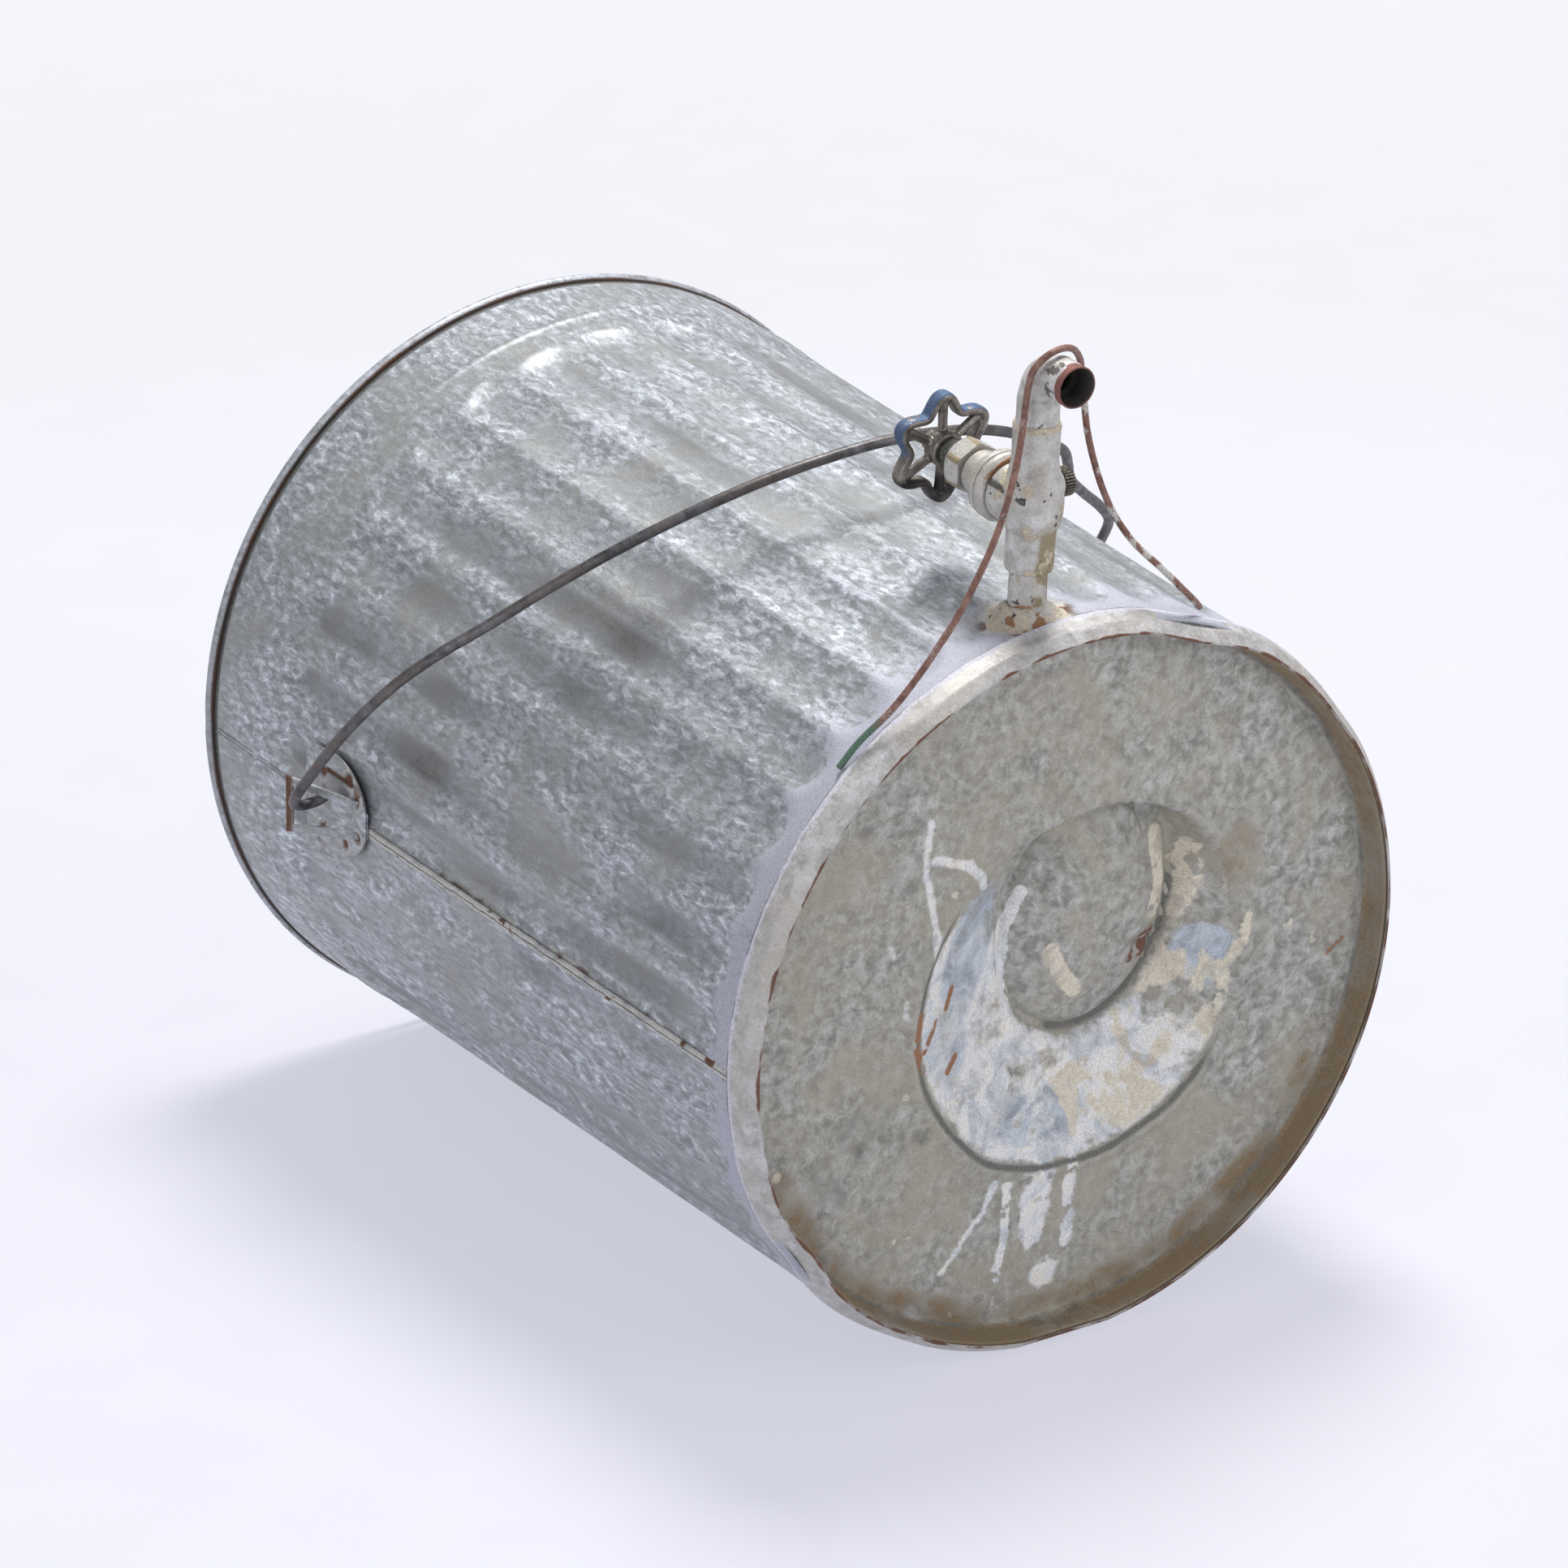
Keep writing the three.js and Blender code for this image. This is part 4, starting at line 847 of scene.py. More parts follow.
def bottom_pan():
    degrees = all_round(560)
    radii = np.concatenate([[0.0, 0.7], np.linspace(1.6, 154.5, 138)])
    skirt = [(154.5, PAN_OUTSIDE), (156.6, 14.4), (157.6, 12.6), (158.2, 8.0), (158.9, 2.2),
             (160.7, 2.2), (161.0, 12.0), (156.0, PAN_INSIDE)]
    skirt = rounded(skirt, 0.7, 4, closed=False)[1:]
    skirt = np.array([p for a, b in zip(skirt[:-1], skirt[1:])
                      for p in np.linspace(a, b, 3, endpoint=False)])
    back = np.linspace(153.6, 0.0, 40)
    profile = np.concatenate([np.stack([radii, np.full_like(radii, PAN_OUTSIDE)], 1), skirt,
                              np.stack([back, np.full_like(back, PAN_INSIDE)], 1)])
    r = profile[:, 0][:, None] + 0 * degrees[None, :]
    z = profile[:, 1][:, None] + 0 * degrees[None, :]
    degrees = degrees[None, :] + 0 * r
    pushed = rest_flat(degrees, z) * smooth((r - 150) / 8)
    knocked = dents(degrees, np.full_like(r, 4.0)) * 0.5 * smooth((r - 150) / 6)
    r = r - pushed - knocked
    flat = place(r, degrees, z)
    x, y = flat[..., 0], flat[..., 1]
    relief, inside, off_floor = pan_relief(y, x)
    lumps = 0.7 * fbm(flat, 60, 3, 95) + 0.16 * fbm(flat, 9, 3, 96)
    flat[..., 2] = z + (relief + lumps) * smooth((156 - r) / 10)
    outside = np.ones(len(profile))
    outside[len(radii) + len(skirt):] = 0
    masks = {key: value * outside[:, None]
             for key, value in pan_masks(flat, y, x, r, inside, off_floor).items()}
    make("base_pan", from_can(flat), grid_faces(len(profile), flat.shape[1], wrap_columns=True),
         pan_finish, "can", masks, ["bottom_pan"])


def seam(name, low, high, height, width, seed, crusty, node):
    rows, columns = int((high - low) / 1.6), 16
    z = np.linspace(low, high, rows)[:, None]
    u = np.linspace(-1, 1, columns)[None, :]
    fade = smooth((z - low) / 2) * smooth((high - z) / 2)
    rough = fbm(np.stack([u * 3 + 0 * z, 0 * u + 0 * z, z + 0 * u], -1), 6, 3, seed)
    lift = height * (1 - np.abs(u) ** 3) * (0.75 + 0.3 * rough) * (0.3 + 0.7 * fade)
    lift = lift * (1 - 0.5 * np.exp(-((u - 0.1) / 0.12) ** 2))
    degrees = SEAM_ANGLE + np.degrees((u * width / 2 + 0.3 * rough) / wall_radius(z))
    outer = place(wall_radius(z) + 0.1 + lift, degrees, z)
    inner = place(wall_radius(z) - 0.5 + 0 * u, degrees, z)
    grid = np.concatenate([outer, inner[:, ::-1]], axis=1)
    noise = fbm(grid, 6, 4, seed + 5)
    # Painted shade: the dark mask follows the groove of the seam's fold.
    fold = np.exp(-((np.concatenate([u, u[:, ::-1]], axis=1) - 0.1) / 0.14) ** 2)
    masks = {"lime": crusty * (0.75 + 0.6 * noise),
             "rust": smooth((fbm(grid, 7, 3, seed + 9) - 0.25) / 0.2) * crusty * 0.9,
             "dark": (fold + 0 * noise) * 0.9, "paint": 0 * noise}
    make(name, from_can(grid), capped_faces(rows, columns * 2), galvanised, "can",
         masks, [node], merge=False)


# ---- Ears ----
EAR_SPOTS = ((-17, 309), (-9, 302), (15, 312), (8, 301), (-13, 330), (14, 331))
TONGUE_OUT = [(-9, 0), (-13.5, TONGUE_LENGTH), (13.5, TONGUE_LENGTH), (9, 0)]
TONGUE_IN = [(-6.6, 15), (-9.4, TONGUE_LENGTH - 3.6), (9.4, TONGUE_LENGTH - 3.6), (6.6, 15)]
TONGUE_SECTION = [(0, 0.25), (0.04, 0.06), (0.12, 0), (0.5, 0), (0.88, 0), (0.96, 0.06), (1, 0.25),
                  (1, 0.75), (0.96, 0.94), (0.88, 1), (0.5, 1), (0.12, 1), (0.04, 0.94), (0, 0.75)]


def outline(corners):
    """Points along the four sides of the tongue's outline."""
    out = []
    for (a, b), (c, d), n in zip(corners, corners[1:] + corners[:1], (24, 18, 24, 12)):
        out += [(a + (c - a) * k / n, b + (d - b) * k / n) for k in range(n)]
    return np.array(out)


def ear_tongue():
    """A frame of four bars with rounded edges, bent up from the plate."""
    section = np.array(TONGUE_SECTION)
    to_edge = section[:, 0][:, None, None]
    frame_points = outline(TONGUE_IN)[None] * (1 - to_edge) + outline(TONGUE_OUT)[None] * to_edge
    across, along = frame_points[..., 0], frame_points[..., 1]
    lift = section[:, 1][:, None] * TONGUE_SHEET + 0 * across
    lift = lift + 0.25 * fbm(np.stack([across, along, 0 * across], -1), 12, 3, 133)
    slope = math.radians(TONGUE_SLOPE)
    out = wall_radius(TONGUE_ROOT) + 0.5 + along * math.sin(slope) - lift * math.cos(slope)
    up = TONGUE_ROOT + along * math.cos(slope) + lift * math.sin(slope)
    tongue = np.stack([across, -out, up], -1)
    noise = fbm(tongue, 6, 4, 137).ravel()
    at_end = smooth((along.ravel() - TONGUE_LENGTH + 5) / 3)
    rust = np.clip(0.8 * at_end + smooth((noise - 0.25) / 0.25) * 0.6, 0, 1)
    return tongue, {"rust": rust, "lime": 0.2 + 0 * noise, "dark": 0.5 * at_end,
                    "paint": 0.3 + 0.2 * noise}


def ear(name, side, node):
    rows, columns = 48, 48
    t = np.linspace(0, 1, rows)[:, None]
    z = EAR_START + EAR_LENGTH * (1 - np.cos(t * math.pi / 2) * 0.999)
    curve = 1 - np.minimum(1, (z - EAR_START) / (EAR_LENGTH * 0.62))
    curve = np.sqrt(np.maximum(0, 1 - curve ** 2))
    half = EAR_HALF * np.maximum(0.25, curve) * (1 - 0.25 * np.maximum(0, t - 0.7))
    u = np.linspace(-1, 1, columns)[None, :]
    across = half * u
    bulge = 0.5 * smooth((1 - np.abs(u)) / 0.12) * smooth((z - EAR_START) / 3)
    from_spots = [np.sqrt((across - cy) ** 2 + (z - cz) ** 2) for cy, cz in EAR_SPOTS]
    dimple = sum(np.exp(-(away ** 2 / 5.5)) for away in from_spots)
    slot = np.exp(-((across + 15.0) / 1.4) ** 2) * smooth((z - 303) / 4) * smooth((330 - z) / 4)
    radius = wall_radius(z) + 0.2 + 1.0 + bulge - 1.1 * dimple - 0.9 * slot
    degrees = 90 + np.degrees(across / wall_radius(z))
    outer = place(radius, degrees, z)
    inner = place(wall_radius(z) + 0.15 + 0 * u, degrees, z)
    plate = np.concatenate([outer, inner[:, ::-1]], axis=1)
    noise = fbm(plate, 7, 4, 131)[:, :columns]
    rings = np.clip(sum(np.exp(-(away - 4.2) ** 2 / 2.0) for away in from_spots), 0, 1)
    # The slot is pressed in and its dark mask is painted shade, standing in for the gap where the
    # tongue was cut out.
    outside = {"rust": np.clip(1.2 * dimple, 0, 1) + 0.8 * slot + 0.5 * smooth((noise - 0.3) / 0.2),
               "lime": rings * 0.75, "dark": 0.9 * slot, "paint": 0.25 + 0 * across}
    tongue, tongue_masks = ear_tongue()
    points = np.vstack([plate.reshape(-1, 3), tongue.reshape(-1, 3)])
    faces = capped_faces(rows, columns * 2)
    faces += grid_faces(tongue.shape[0], tongue.shape[1], True, True, plate.size // 3).tolist()
    masks = {key: np.concatenate([np.concatenate([value, 0 * across], axis=1).ravel(),
                                  tongue_masks[key]]) for key, value in outside.items()}
    if side > 0:
        points = points * [-1, -1, 1]
    make(name, from_can(points), faces, galvanised, "can", masks, [node], merge=False)


# ---- Wires ----
BAIL_HOOK = [(7, 180.4), (3.2, 181.4), (0.4, 185), (0.2, 190.5), (3.5, 195.2), (10, 197.4),
             (34, 197.6), (66, 196.2), (98, 190.5), (116, 184.6)]
BAIL_NEAR = BAIL_HOOK + [(134, 174.4), (155, 156.5), (180, 137), (208, 110), (233, 76), (249, 41)]
BAIL_FAR = BAIL_HOOK + [(134, 170.5), (154, 151), (173, 134), (191, 123.5), (207, 112.5), (236, 72),
                        (250, 41)]


def bail():
    near = [(d, -w, 0) for d, w in BAIL_NEAR]
    far = [(d, w, 0) for d, w in BAIL_FAR][::-1]
    path = catmull(near + [(256.5, 0, 0)] + far, 14)
    rings, faces = sweep(path, BAIL_WIRE, 20, rough=0.10, rough_size=9.0, seed=141)
    rings = rings @ turn_y(BAIL_REST).T + BAIL_PIVOT
    noise = fbm(rings, 12, 4, 143)
    make("bail_handle", from_can(rings), faces, bail_steel, "bail",
         {"rust": smooth((noise - 0.25) / 0.4) * 0.55}, ["bail"])


BRACE_ROUTE = [
    (121.5, -113.8, 18.8), (131.8, -106.6, 16.2), (145.5, -94.5, 11), (158, -84, 9), (172, -74, 7.2),
    (182, -67.5, 6), (195, -60, 5.5), (208.5, -51, 7.4), (222.5, -43, 10.2), (237.5, -36, 14),
    (251, -31.2, 17.4), (261.5, -29.7, 18), (269.5, -29.3, 17.2), (275.5, -28.7, 15.8),
    (280.5, -26.6, 13.5), (284, -22, 12), (284.5, -16.3, 12.5),
    (282.6, -10.6, 15), (279, -5.6, 18.6), (273.7, -1.3, 21.5), (263.2, 2.4, 24.5),
    (250.7, 6, 27), (238.6, 9, 28.2),
    (222.6, 13.5, 27.5), (208.7, 19, 26.8), (198, 24.5, 25.4), (188, 31, 21.5), (178.5, 39.5, 15.5),
    (167.5, 49.5, 11.5), (159.8, 57.9, 15), (154.4, 63.8, 19.2)]


def brace():
    path = catmull(BRACE_ROUTE, 10)
    rings, faces = sweep(path, BRACE_WIRE, 14, rough=0.10, rough_size=5.0, seed=151)
    noise = fbm(rings, 8, 4, 153)
    along = np.linspace(0, 1, len(rings))[:, None] + 0 * noise
    lime = smooth((noise - 0.02) / 0.3) * (0.35 + 0.65 * smooth((along - 0.6) / 0.15))
    green = smooth((0.075 - along) / 0.03)
    make("brace_rod", from_can(rings), faces, rust_wire, "can",
         {"lime": lime, "green": green}, ["brace_wire"])


# ---- Valve ----
def lathe(name, profile, place_by, material, body="can", replaces=(), columns=72,
          round_by=0.5, lumps=0.05, lump_size=5.0, seed=200, masks=None, longest=1.2, shape=None):
    """A turned piece from a closed profile of (radius, height), cut by shape and roughened."""
    grid = turned_grid(fine(rounded(profile, round_by), longest), columns)
    if shape is not None:
        grid = shape(grid)
    push = lumps * fbm(grid, lump_size, 3, seed)
    r = np.maximum(1e-6, np.hypot(grid[..., 0], grid[..., 1]))
    for axis in (0, 1):
        grid[..., axis] += grid[..., axis] / r * push * (r > 0.01)
    values = masks(grid) if masks else None
    make(name, place_by(grid), closed_grid(grid), material, body, values, replaces)


def solder():
    columns, rows = 110, 26
    a = np.arange(columns) * 2 * math.pi / columns
    t = np.linspace(0, 1, rows)[:, None]
    circle = np.stack([np.cos(a) * 10, np.sin(a) * 10, 0 * a], -1)
    ragged = 1 + 0.26 * fbm(circle, 9, 3, 161)[None, :]
    rho = 7.6 + t * 9.5 * ragged
    flat = valve_to_can(np.stack([rho * np.cos(a), rho * np.sin(a), 0 * rho], -1))
    degrees = np.degrees(np.arctan2(-flat[..., 1], flat[..., 0]))
    z = flat[..., 2]
    blob = fbm(flat, 6, 4, 163)
    rise = 5.8 * (1 - smooth(t * 1.25)) + 1.3 * (1 - t) * blob + 0.9 * (1 - t)
    rise = rise - 0.5 * smooth((t - 0.85) / 0.15)
    wall = wall_radius(z) - flute_depth(degrees, z)
    loop = np.concatenate([place(wall + rise, degrees, z), place(wall - 0.9, degrees, z)[::-1]])
    noise = fbm(loop, 5, 4, 165)
    masks = {"lime": 0.62 + 0.5 * noise, "rust": 0.8 * smooth((fbm(loop, 9, 3, 166) - 0.38) / 0.15),
             "stain": 0.4 * smooth((noise + 0.1) / 0.3),
             "dark": smooth((fbm(loop, 3, 3, 167) - 0.45) / 0.1)}
    make("solder_heap", from_can(loop), closed_grid(loop), painted, "can", masks,
         ["solder_joint"])


def valve_masks(grid, seed=171):
    """Stains down the side that faces the base, in the valve's own frame."""
    n4, n9 = fbm(grid, 4, 4, seed), fbm(grid, 10, 4, seed + 3)
    z = grid[..., 2]
    side = np.arctan2(grid[..., 1], grid[..., 0])
    toward = smooth((np.cos(side - 0.9) - 0.1) / 0.5)
    stain = toward * smooth((60 - z) / 30) * smooth((n9 + 0.35) / 0.4)
    return {"stain": np.clip(stain + 0.5 * smooth((n9 - 0.2) / 0.2), 0, 1),
            "lime": 0.7 * smooth((n9 - 0.25) / 0.2), "dark": smooth((n4 - 0.42) / 0.1),
            "rust": smooth((10 - z) / 5) * smooth((n9 + 0.1) / 0.2)}


CASTING = [(0, 21.2), (10.1, 21.2), (10.3, 38), (11.7, 41.5), (12.7, 46), (12.8, 51), (12.1, 58),
           (10.4, 65), (9.8, 69), (9.8, 84), (0, 84)]


def valve_body():
    def turned(profile, round_by, columns):
        return turned_grid(fine(rounded(profile, round_by), 1.5), columns)

    body = turned(CASTING, 0.5, 64)
    boss = turned([(0, 0), (12.6, 0), (12.6, 16), (0, 16)], 0.8, 56)
    boss = boss @ turn_y(-90).T + [0, 0, SEAT_LEVEL]
    drain = turned([(0, 0), (6.2, 0), (6.2, 12), (0, 12)], 0.4, 40)
    drain = drain @ turn_x(-90).T + [0, 0, DRAIN_LEVEL]
    points, faces = remeshed("valve_body", [(g, closed_grid(g)) for g in (body, boss, drain)], 0.55, 5)
    away = points - points * [0, 0, 1]
    away /= np.maximum(1e-6, np.linalg.norm(away, axis=1))[:, None]
    rough = 0.16 * fbm(points, 9, 3, 173) + 0.07 * fbm(points, 2.5, 2, 174)
    points = points + away * rough[:, None]
    masks = valve_masks(points, 175)
    spot = near_spot(points[:, 1], points[:, 2], -9.5, 55, 2.4, 1.8, 0, 0.6) * (points[:, 0] < 8)
    masks["dark"] = np.maximum(masks["dark"], 0.8 * spot)
    make("valve_casting", from_valve(points), faces, painted, "can", masks, ["valve_body"],
         merge=False)


def polar(grid):
    """Radius and angle of each point round the turned axis."""
    return np.hypot(grid[..., 0], grid[..., 1]), np.arctan2(grid[..., 1], grid[..., 0])


def hexagonal(corner, soften=0.35):
    """Cuts a turned grid down to a hexagon with slightly soft corners."""
    def shape(grid):
        r, a = polar(grid)
        fold = np.mod(a, math.pi / 3) - math.pi / 6
        apothem = corner * math.cos(math.pi / 6)
        limit = np.minimum(apothem / np.cos(fold), corner - soften)
        scale = np.minimum(1.0, limit / np.maximum(r, 1e-6))
        return grid * np.stack([scale, scale, np.ones_like(scale)], -1)
    return shape


def nut_masks(grid):
    r, z = polar(grid)[0], grid[..., 2]
    n = fbm(grid, 4, 4, 181)
    edge = smooth((r - 11.2 + 0.3 * n) / 0.5) * smooth((z - 37.6) / 0.6)
    front = smooth((z - 47.5 + 0.6 * n) / 0.6) * smooth((r - 8.8) / 0.6)
    return {"stain": np.maximum(edge, 0.8 * front), "lime": 0 * r,
            "dark": 0.8 * smooth((8.0 - r) / 1.0) * smooth((z - 47) / 1.0),
            "rust": 0.4 * edge * smooth((n - 0.1) / 0.2)}


def bonnet_masks(grid):
    z, side = grid[..., 2], polar(grid)[1]
    n = fbm(grid, 6, 4, 185)
    rust = smooth((17.8 - z + n) / 1.2) * smooth((np.cos(side - 0.2) - 0.35 + 0.3 * n) / 0.3)
    # Painted shade: the dark mask fills the groove round the bonnet and the step at its neck.
    groove = np.exp(-((z - 21.4) / 0.35) ** 2) + np.exp(-((z - 26.2) / 0.5) ** 2)
    return {"stain": 0.5 * smooth((n - 0.25) / 0.2), "lime": 0 * z,
            "dark": np.clip(0.7 * groove, 0, 1), "rust": rust}


def ring_masks(grid):
    n = smooth((fbm(grid, 3, 3, 218) - 0.4) / 0.1)
    return {"lime": 0.75 + 0.4 * fbm(grid, 4, 3, 217), "stain": 0 * n, "dark": 0.6 * n, "rust": 0 * n}


def hex_nut_masks(grid):
    return {"blue": 0 * grid[..., 0], "dark": 0.3 + 0 * grid[..., 0]}


def wheel_edge(a):
    """Outside radius of the six-lobed rim."""
    return 24.6 - 6.6 * (1 - (0.5 + 0.5 * np.cos(6 * a)) ** 0.8)


def handwheel():
    columns, rows = 264, 20
    a = np.arange(columns) * 2 * math.pi / columns
    t = np.arange(rows) * 2 * math.pi / rows
    section_r = np.sign(np.cos(t)) * np.abs(np.cos(t)) ** 0.6 * 1.75
    section_z = np.sign(np.sin(t)) * np.abs(np.sin(t)) ** 0.6 * 3.5
    x, y = wheel_edge(a) * np.cos(a), wheel_edge(a) * np.sin(a)
    tangent = np.stack([np.gradient(np.r_[v[-1], v, v[0]])[1:-1] for v in (x, y)], 1)
    tangent /= np.linalg.norm(tangent, axis=1)[:, None]
    normal = np.stack([tangent[:, 1], -tangent[:, 0]], 1)
    centre = np.stack([x, y], 1) - normal * 1.75
    grid = np.zeros((rows, columns, 3))
    grid[..., :2] = centre[None] + normal[None] * section_r[:, None, None]
    grid[..., 2] = 3.5 + section_z[:, None]
    parts = [(grid, closed_grid(grid))]
    for i in range(6):
        rings, faces = sweep(np.linspace([4.5, 0, 2.6], [22.4, 0, 3.6], 14), 1.9, 16)
        rings[..., 1] *= 1.15 + 0.25 * smooth((rings[..., 0] - 15) / 6)
        parts.append((rings @ turn_z(60 * i).T, faces))
    hub = rounded([(3.3, -3), (7.8, -3), (7.8, 4.4), (6.2, 6.4), (3.3, 6.4)], 0.6)
    hub = turned_grid(fine(hub, 1.2), 48)
    parts.append((hub, closed_grid(hub)))
    points, faces = remeshed("wheel", parts, 0.5, 4)
    points = points + np.stack([fbm(points, 6, 3, 191 + k) for k in range(3)], 1) * 0.12
    r, a = polar(points)
    outside = smooth((r - wheel_edge(a) + 1.2) / 0.8)
    n = fbm(points, 6, 4, 195)
    # The dark mask darkens the wheel's lower side, towards the can: painted shade on its underside.
    masks = {"blue": outside * smooth((points[:, 0] + 8) / 14) * smooth((n + 0.35) / 0.3),
             "dark": smooth((-points[:, 0] - 6) / 8) * (0.7 + 0.4 * n)}
    make("wheel_casting", from_bonnet(points + [0, 0, WHEEL_LEVEL]), faces, wheel_iron,
         "wheel_and_stem", masks, ["handwheel"], merge=False)


def knurled(grid):
    r, a = polar(grid)
    teeth = np.sign(np.cos(30 * a)) * np.abs(np.cos(30 * a)) ** 0.6
    ridge = 1 + 0.035 * teeth * smooth((r - 4.6) / 0.8)
    return grid * np.stack([ridge, ridge, np.ones_like(ridge)], -1)


def drain_masks(grid):
    r, a = polar(grid)
    # Painted shade: the dark mask fills the grooves between the knurl teeth.
    return {"dark": smooth((-np.cos(30 * a) - 0.1) / 0.5) * smooth((r - 5.0) / 0.5)}


def elbow():
    """The elbow as one tube: along its bent axis outside, and back inside through the two cups."""
    arc = ELBOW_BEND * math.pi / 2
    end = CUP_DEPTH + arc
    outer = [(0.0, 8.7), (0.35, 8.95), (3, 8.9), (8, 8.95), (11.6, 8.9), (12.6, 8.75), (13.6, 8.4),
             (15.5, 8.3), (18, 8.3), (21, 8.3), (24, 8.3), (27, 8.3), (end - 3, 8.35), (end - 1.6, 8.6),
             (end - 0.4, 8.9), (end + 2, 8.95), (end + 6, 8.9), (end + 10, 8.95), (end + 12.2, 9.0),
             (end + 12.7, 8.8)]
    inner = [(end + 12.7, 8.35), (end + 12.3, CUP_BORE), (end + 8, CUP_BORE), (end + 0.5, CUP_BORE),
             (end - 0.5, 6.95), (end - 4, TURN_BORE), (CUP_DEPTH + 12, TURN_BORE),
             (CUP_DEPTH + 8, TURN_BORE), (CUP_DEPTH + 4, TURN_BORE), (CUP_DEPTH + 1, TURN_BORE),
             (CUP_DEPTH, CUP_BORE), (CUP_DEPTH - 6, CUP_BORE), (0.3, CUP_BORE)]
    corners = np.array(outer + inner)
    loop = []
    for p, q in zip(corners, np.roll(corners, -1, axis=0)):
        n = max(1, int(abs(q[0] - p[0]) / 1.1))
        loop += [p + (q - p) * k / n for k in range(n)]
    loop = np.array(loop)
    a = np.arange(64)[None, :] * 2 * math.pi / 64
    d, r = loop[:, 0][:, None] - CUP_DEPTH, loop[:, 1][:, None]
    outside = (r > 8.26).astype(float)
    straight = np.stack([r * np.cos(a), r * np.sin(a), d + 0 * a], -1)
    rough = 0.12 * fbm(straight, 6, 3, 201) + 0.05 * fbm(straight, 2, 2, 202)
    r = r + outside * rough - 0.06 * outside
    turn = np.clip(d / ELBOW_BEND, 0, math.pi / 2)
    before, after = np.minimum(0, d), np.maximum(0, d - arc)
    to_centre = ELBOW_BEND - r * np.cos(a)
    grid = np.stack([ELBOW_BEND - to_centre * np.cos(turn) + after, r * np.sin(a),
                     ELBOW_TOP - ELBOW_BEND + to_centre * np.sin(turn) + before], -1)
    n4, n8 = fbm(grid, 4, 4, 203), fbm(grid, 9, 4, 205)
    from_mouth = arc + 12.7 - d
    dark = smooth((n4 - 0.12) / 0.15) * smooth((16 - from_mouth) / 6)
    # The inside mask colours the bore near-black: painted shade inside the elbow.
    masks = {"dark": (dark + 0.8 * smooth((n4 - 0.45) / 0.1)) * outside,
             "bare": smooth((4.5 + 3.5 * n8 - from_mouth) / 1.5) * outside,
             "inside": (1 - outside) + 0 * n4, "lime": 0.7 * smooth((n8 - 0.3) / 0.2) * outside}
    make("elbow_fitting", from_valve(grid), closed_grid(grid), elbow_paint, "can", masks,
         ["outlet_elbow"])


def recoat(material, *nodes):
    for name in nodes:
        slots = frame["nodes"][name].data.materials
        slots.clear()
        slots.append(material)


# ---- Build ----
for obj in [o for o in bpy.data.objects if o.name in ("Cube", "Light", "Camera")]:
    bpy.data.objects.remove(obj)

can_wall()
rolled_rim()
base_hoop()
bottom_pan()
seam("lower_seam", 17.0, 293.0, 1.0, 4.6, 111, 1.0, "side_seam_lower")
seam("upper_seam", 345.5, 423.0, 0.8, 3.4, 121, 0.25, "side_seam_upper")
ear("near_ear", -1, "ear_near")
ear("far_ear", 1, "ear_far")
bail()
brace()
solder()
lathe("nipple_tube", [(6.9, -14), (7.94, -14), (7.94, 33.4), (6.9, 33.4)], from_valve, painted,
      replaces=["pipe_nipple"], lumps=0.10, lump_size=7, seed=211, masks=valve_masks)
valve_body()
lathe("socket_solder", [(8.6, 83.4), (9.9, 83.2), (10.1, 84.2), (9.3, 86.0), (8.6, 86.3)], from_valve,
      painted, lumps=0.35, lump_size=4, seed=215, round_by=0.8, masks=ring_masks)
lathe("bonnet_dome", [(8.2, 7), (8.9, 7), (8.9, 16.3), (13.4, 16.3), (15, 18.5), (15, 20.6),
                      (14.3, 21.4), (15, 22.2), (14.6, 25.2), (13.2, 26.2), (9.5, 26.4), (9.5, 37),
                      (6, 37), (6, 29.5), (3.3, 29.5), (3.3, 19), (7, 15), (8.2, 14)],
      from_bonnet, painted, replaces=["bonnet"], lumps=0.06, seed=221, round_by=0.35,
      masks=bonnet_masks, columns=96)
lathe("gland_nut", [(3.3, 38.4), (11.5, 38.4), (12.4, 39.6), (12.4, 46), (10.8, 48), (6.1, 48.2),
                    (5.9, 58.4), (3.3, 58.4)],
      from_bonnet, painted, replaces=["packing_nut"], columns=144, lumps=0.05, seed=225,
      round_by=0.4, masks=nut_masks, shape=hexagonal(12.1))
lathe("stem_rod", [(0, 4.6), (2.4, 4.6), (2.4, 9.2), (3, 9.6), (3, 70.4), (2.2, 70.8), (2.2, 73.4),
                   (0, 73.4)],
      from_bonnet, brass, body="wheel_and_stem", replaces=["valve_stem"], columns=40,
      round_by=0.3, lumps=0.03, seed=227)
handwheel()
lathe("wheel_hex_nut", [(2.5, 71), (4.9, 71), (4.9, 73.0), (4.2, 73.5), (2.5, 73.5)], from_bonnet,
      wheel_iron, body="wheel_and_stem", replaces=["wheel_nut"], columns=72, round_by=0.25,
      lumps=0.03, shape=hexagonal(4.6, 0.1), masks=hex_nut_masks)
lathe("drain_knob", [(0, 13.4), (4, 13.4), (4, 12.3), (5.9, 12.3), (6.1, 12.8), (6.1, 16.8),
                     (5.5, 17.3), (0, 17.3)],
      from_drain, bronze, body="drain_cap_turn", replaces=["drain_cap"], columns=240,
      round_by=0.25, lumps=0.02, shape=knurled, masks=drain_masks, longest=0.8)
elbow()
recoat(rubber, "stem_packing", "disc_washer", "drain_seal")
recoat(brass, "disc_holder", "disc_screw")
recoat(copper, "outlet_nipple")

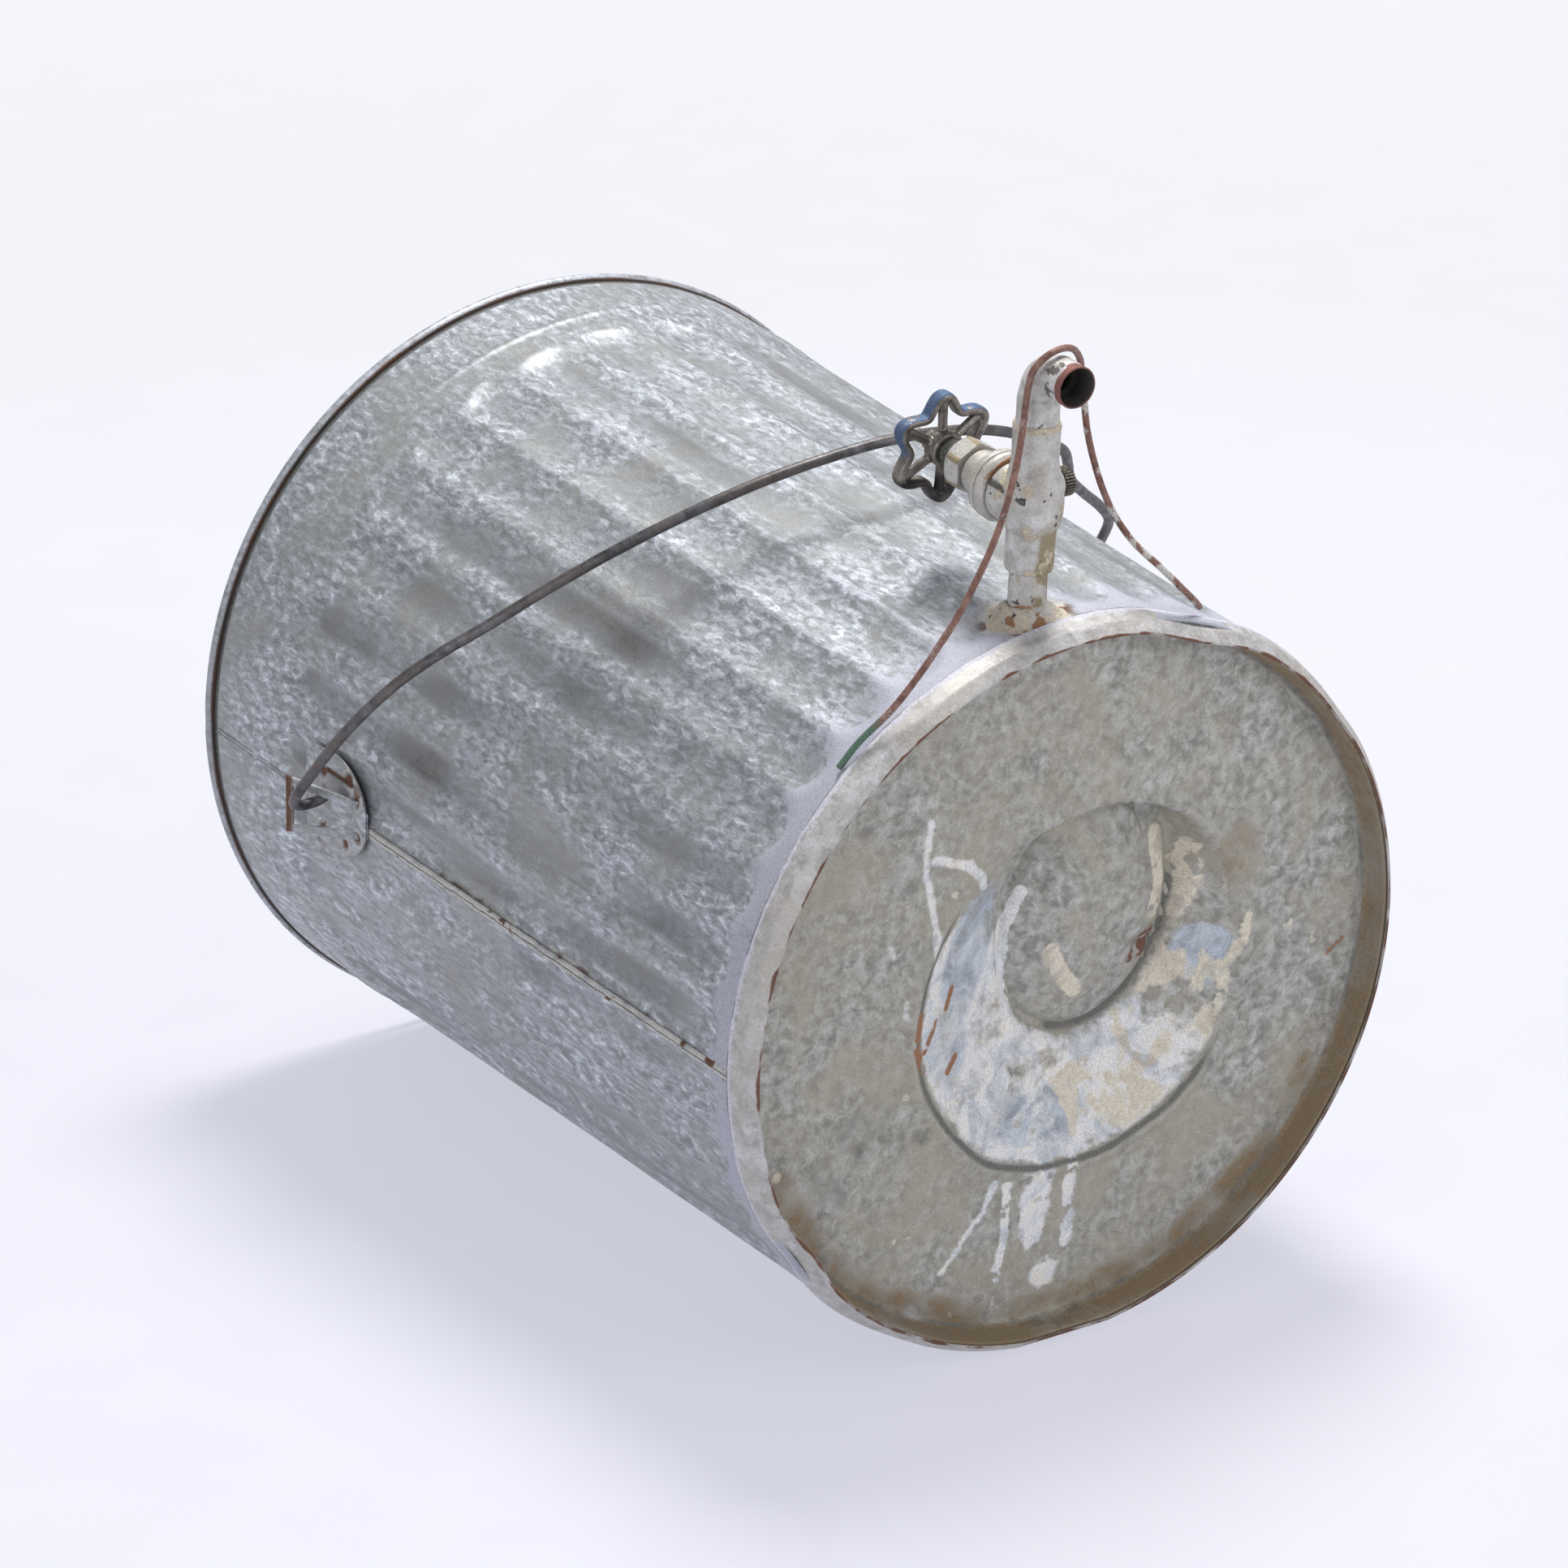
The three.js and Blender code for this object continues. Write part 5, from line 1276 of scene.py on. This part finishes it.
# ---- Stage, lights and camera ----
floor_mesh = bpy.data.meshes.new("floor")
floor_mesh.from_pydata([(x, y, 0) for x, y in ((-8, -8), (8, -8), (8, 8), (-8, 8))], [],
                       [(0, 1, 2, 3)])
floor = bpy.data.objects.new("floor", floor_mesh)
bpy.context.collection.objects.link(floor)
s = Shader("pale_floor", 0.0, 0.3)
grain = s.noise(60.0, 3.0, 0.5)
distance = s.node("ShaderNodeVectorMath", {0: s.coords}, operation="LENGTH").outputs["Value"]
# The floor glows with painted light: dimmer near the can, as a painted shadow round it, and brighter
# further off, as a painted pool of light.
glow = s.ramp(s.maths("MULTIPLY", distance, 0.25),
              [(0.1, (0.83, 0.84, 0.95)), (0.32, (0.95, 0.955, 1.0)), (0.7, (1.35, 1.35, 1.38))])
s.tree.links.new(glow, s.bsdf.inputs["Emission Color"])
s.bsdf.inputs["Emission Strength"].default_value = 0.60
floor_colour = s.ramp(grain, [(0.3, (0.26, 0.26, 0.275)), (0.7, (0.27, 0.27, 0.285))])
floor_mesh.materials.append(s.finish(floor_colour, s.ramp(grain, [(0.3, 0.55), (0.7, 0.65)]), []))


def looking(forward):
    """Rotation of a light or camera that looks along forward, with its top up."""
    forward = np.array(forward) / np.linalg.norm(forward)
    right = np.cross(forward, [0, 0, 1])
    right /= np.linalg.norm(right)
    return np.stack([right, np.cross(right, forward), -forward], 1)


def area_light(name, at, aim, size, watts, colour):
    data = bpy.data.lights.new(name, "AREA")
    data.shape = "DISK"
    data.size = size
    data.energy = watts
    data.color = colour
    light = bpy.data.objects.new(name, data)
    light.location = at
    light.rotation_euler = Matrix(looking(np.array(aim) - np.array(at)).tolist()).to_euler()
    bpy.context.collection.objects.link(light)


area_light("overhead", (-0.35, 0.35, 2.0), (0, 0.001, 0.1), 0.8, 44, (1.0, 0.99, 0.98))
area_light("camera_left", (1.0, -2.6, 1.3), (0, 0, 0.2), 1.8, 16, (0.98, 0.98, 1.0))
area_light("right_side", (2.4, 1.0, 1.3), (0.1, 0, 0.2), 1.4, 20, (0.96, 0.96, 1.0))
world = bpy.data.worlds.get("World") or bpy.data.worlds.new("World")
bpy.context.scene.world = world
world.use_nodes = True
nodes = world.node_tree.nodes
background = nodes.get("Background") or nodes.new("ShaderNodeBackground")
background.inputs["Color"].default_value = (0.93, 0.94, 1.0, 1.0)
background.inputs["Strength"].default_value = 0.46
bpy.context.scene.view_settings.view_transform = "Standard"

camera_data = bpy.data.cameras.new("camera")
camera_data.lens = 145.33
camera_data.sensor_width = 36.0
camera_data.clip_end = 50.0
camera = bpy.data.objects.new("camera", camera_data)
bpy.context.collection.objects.link(camera)
# The camera's place from the can's base centre, and its back axis, before both turn by LEAN_BACK.
LEAN_BACK = turn_y(-0.744)
CAMERA_BACK = [0.77628, -0.50625, 0.37564]
CAMERA_AT = np.array([1940.87, -1414.21, 1066.82])
turn = LEAN_BACK @ looking(-np.array(CAMERA_BACK))
where = (CAN_AT + LEAN_BACK @ CAMERA_AT) * MM
camera.matrix_world = Matrix.Translation(where.tolist()) @ Matrix(turn.tolist()).to_4x4()
bpy.context.scene.camera = camera
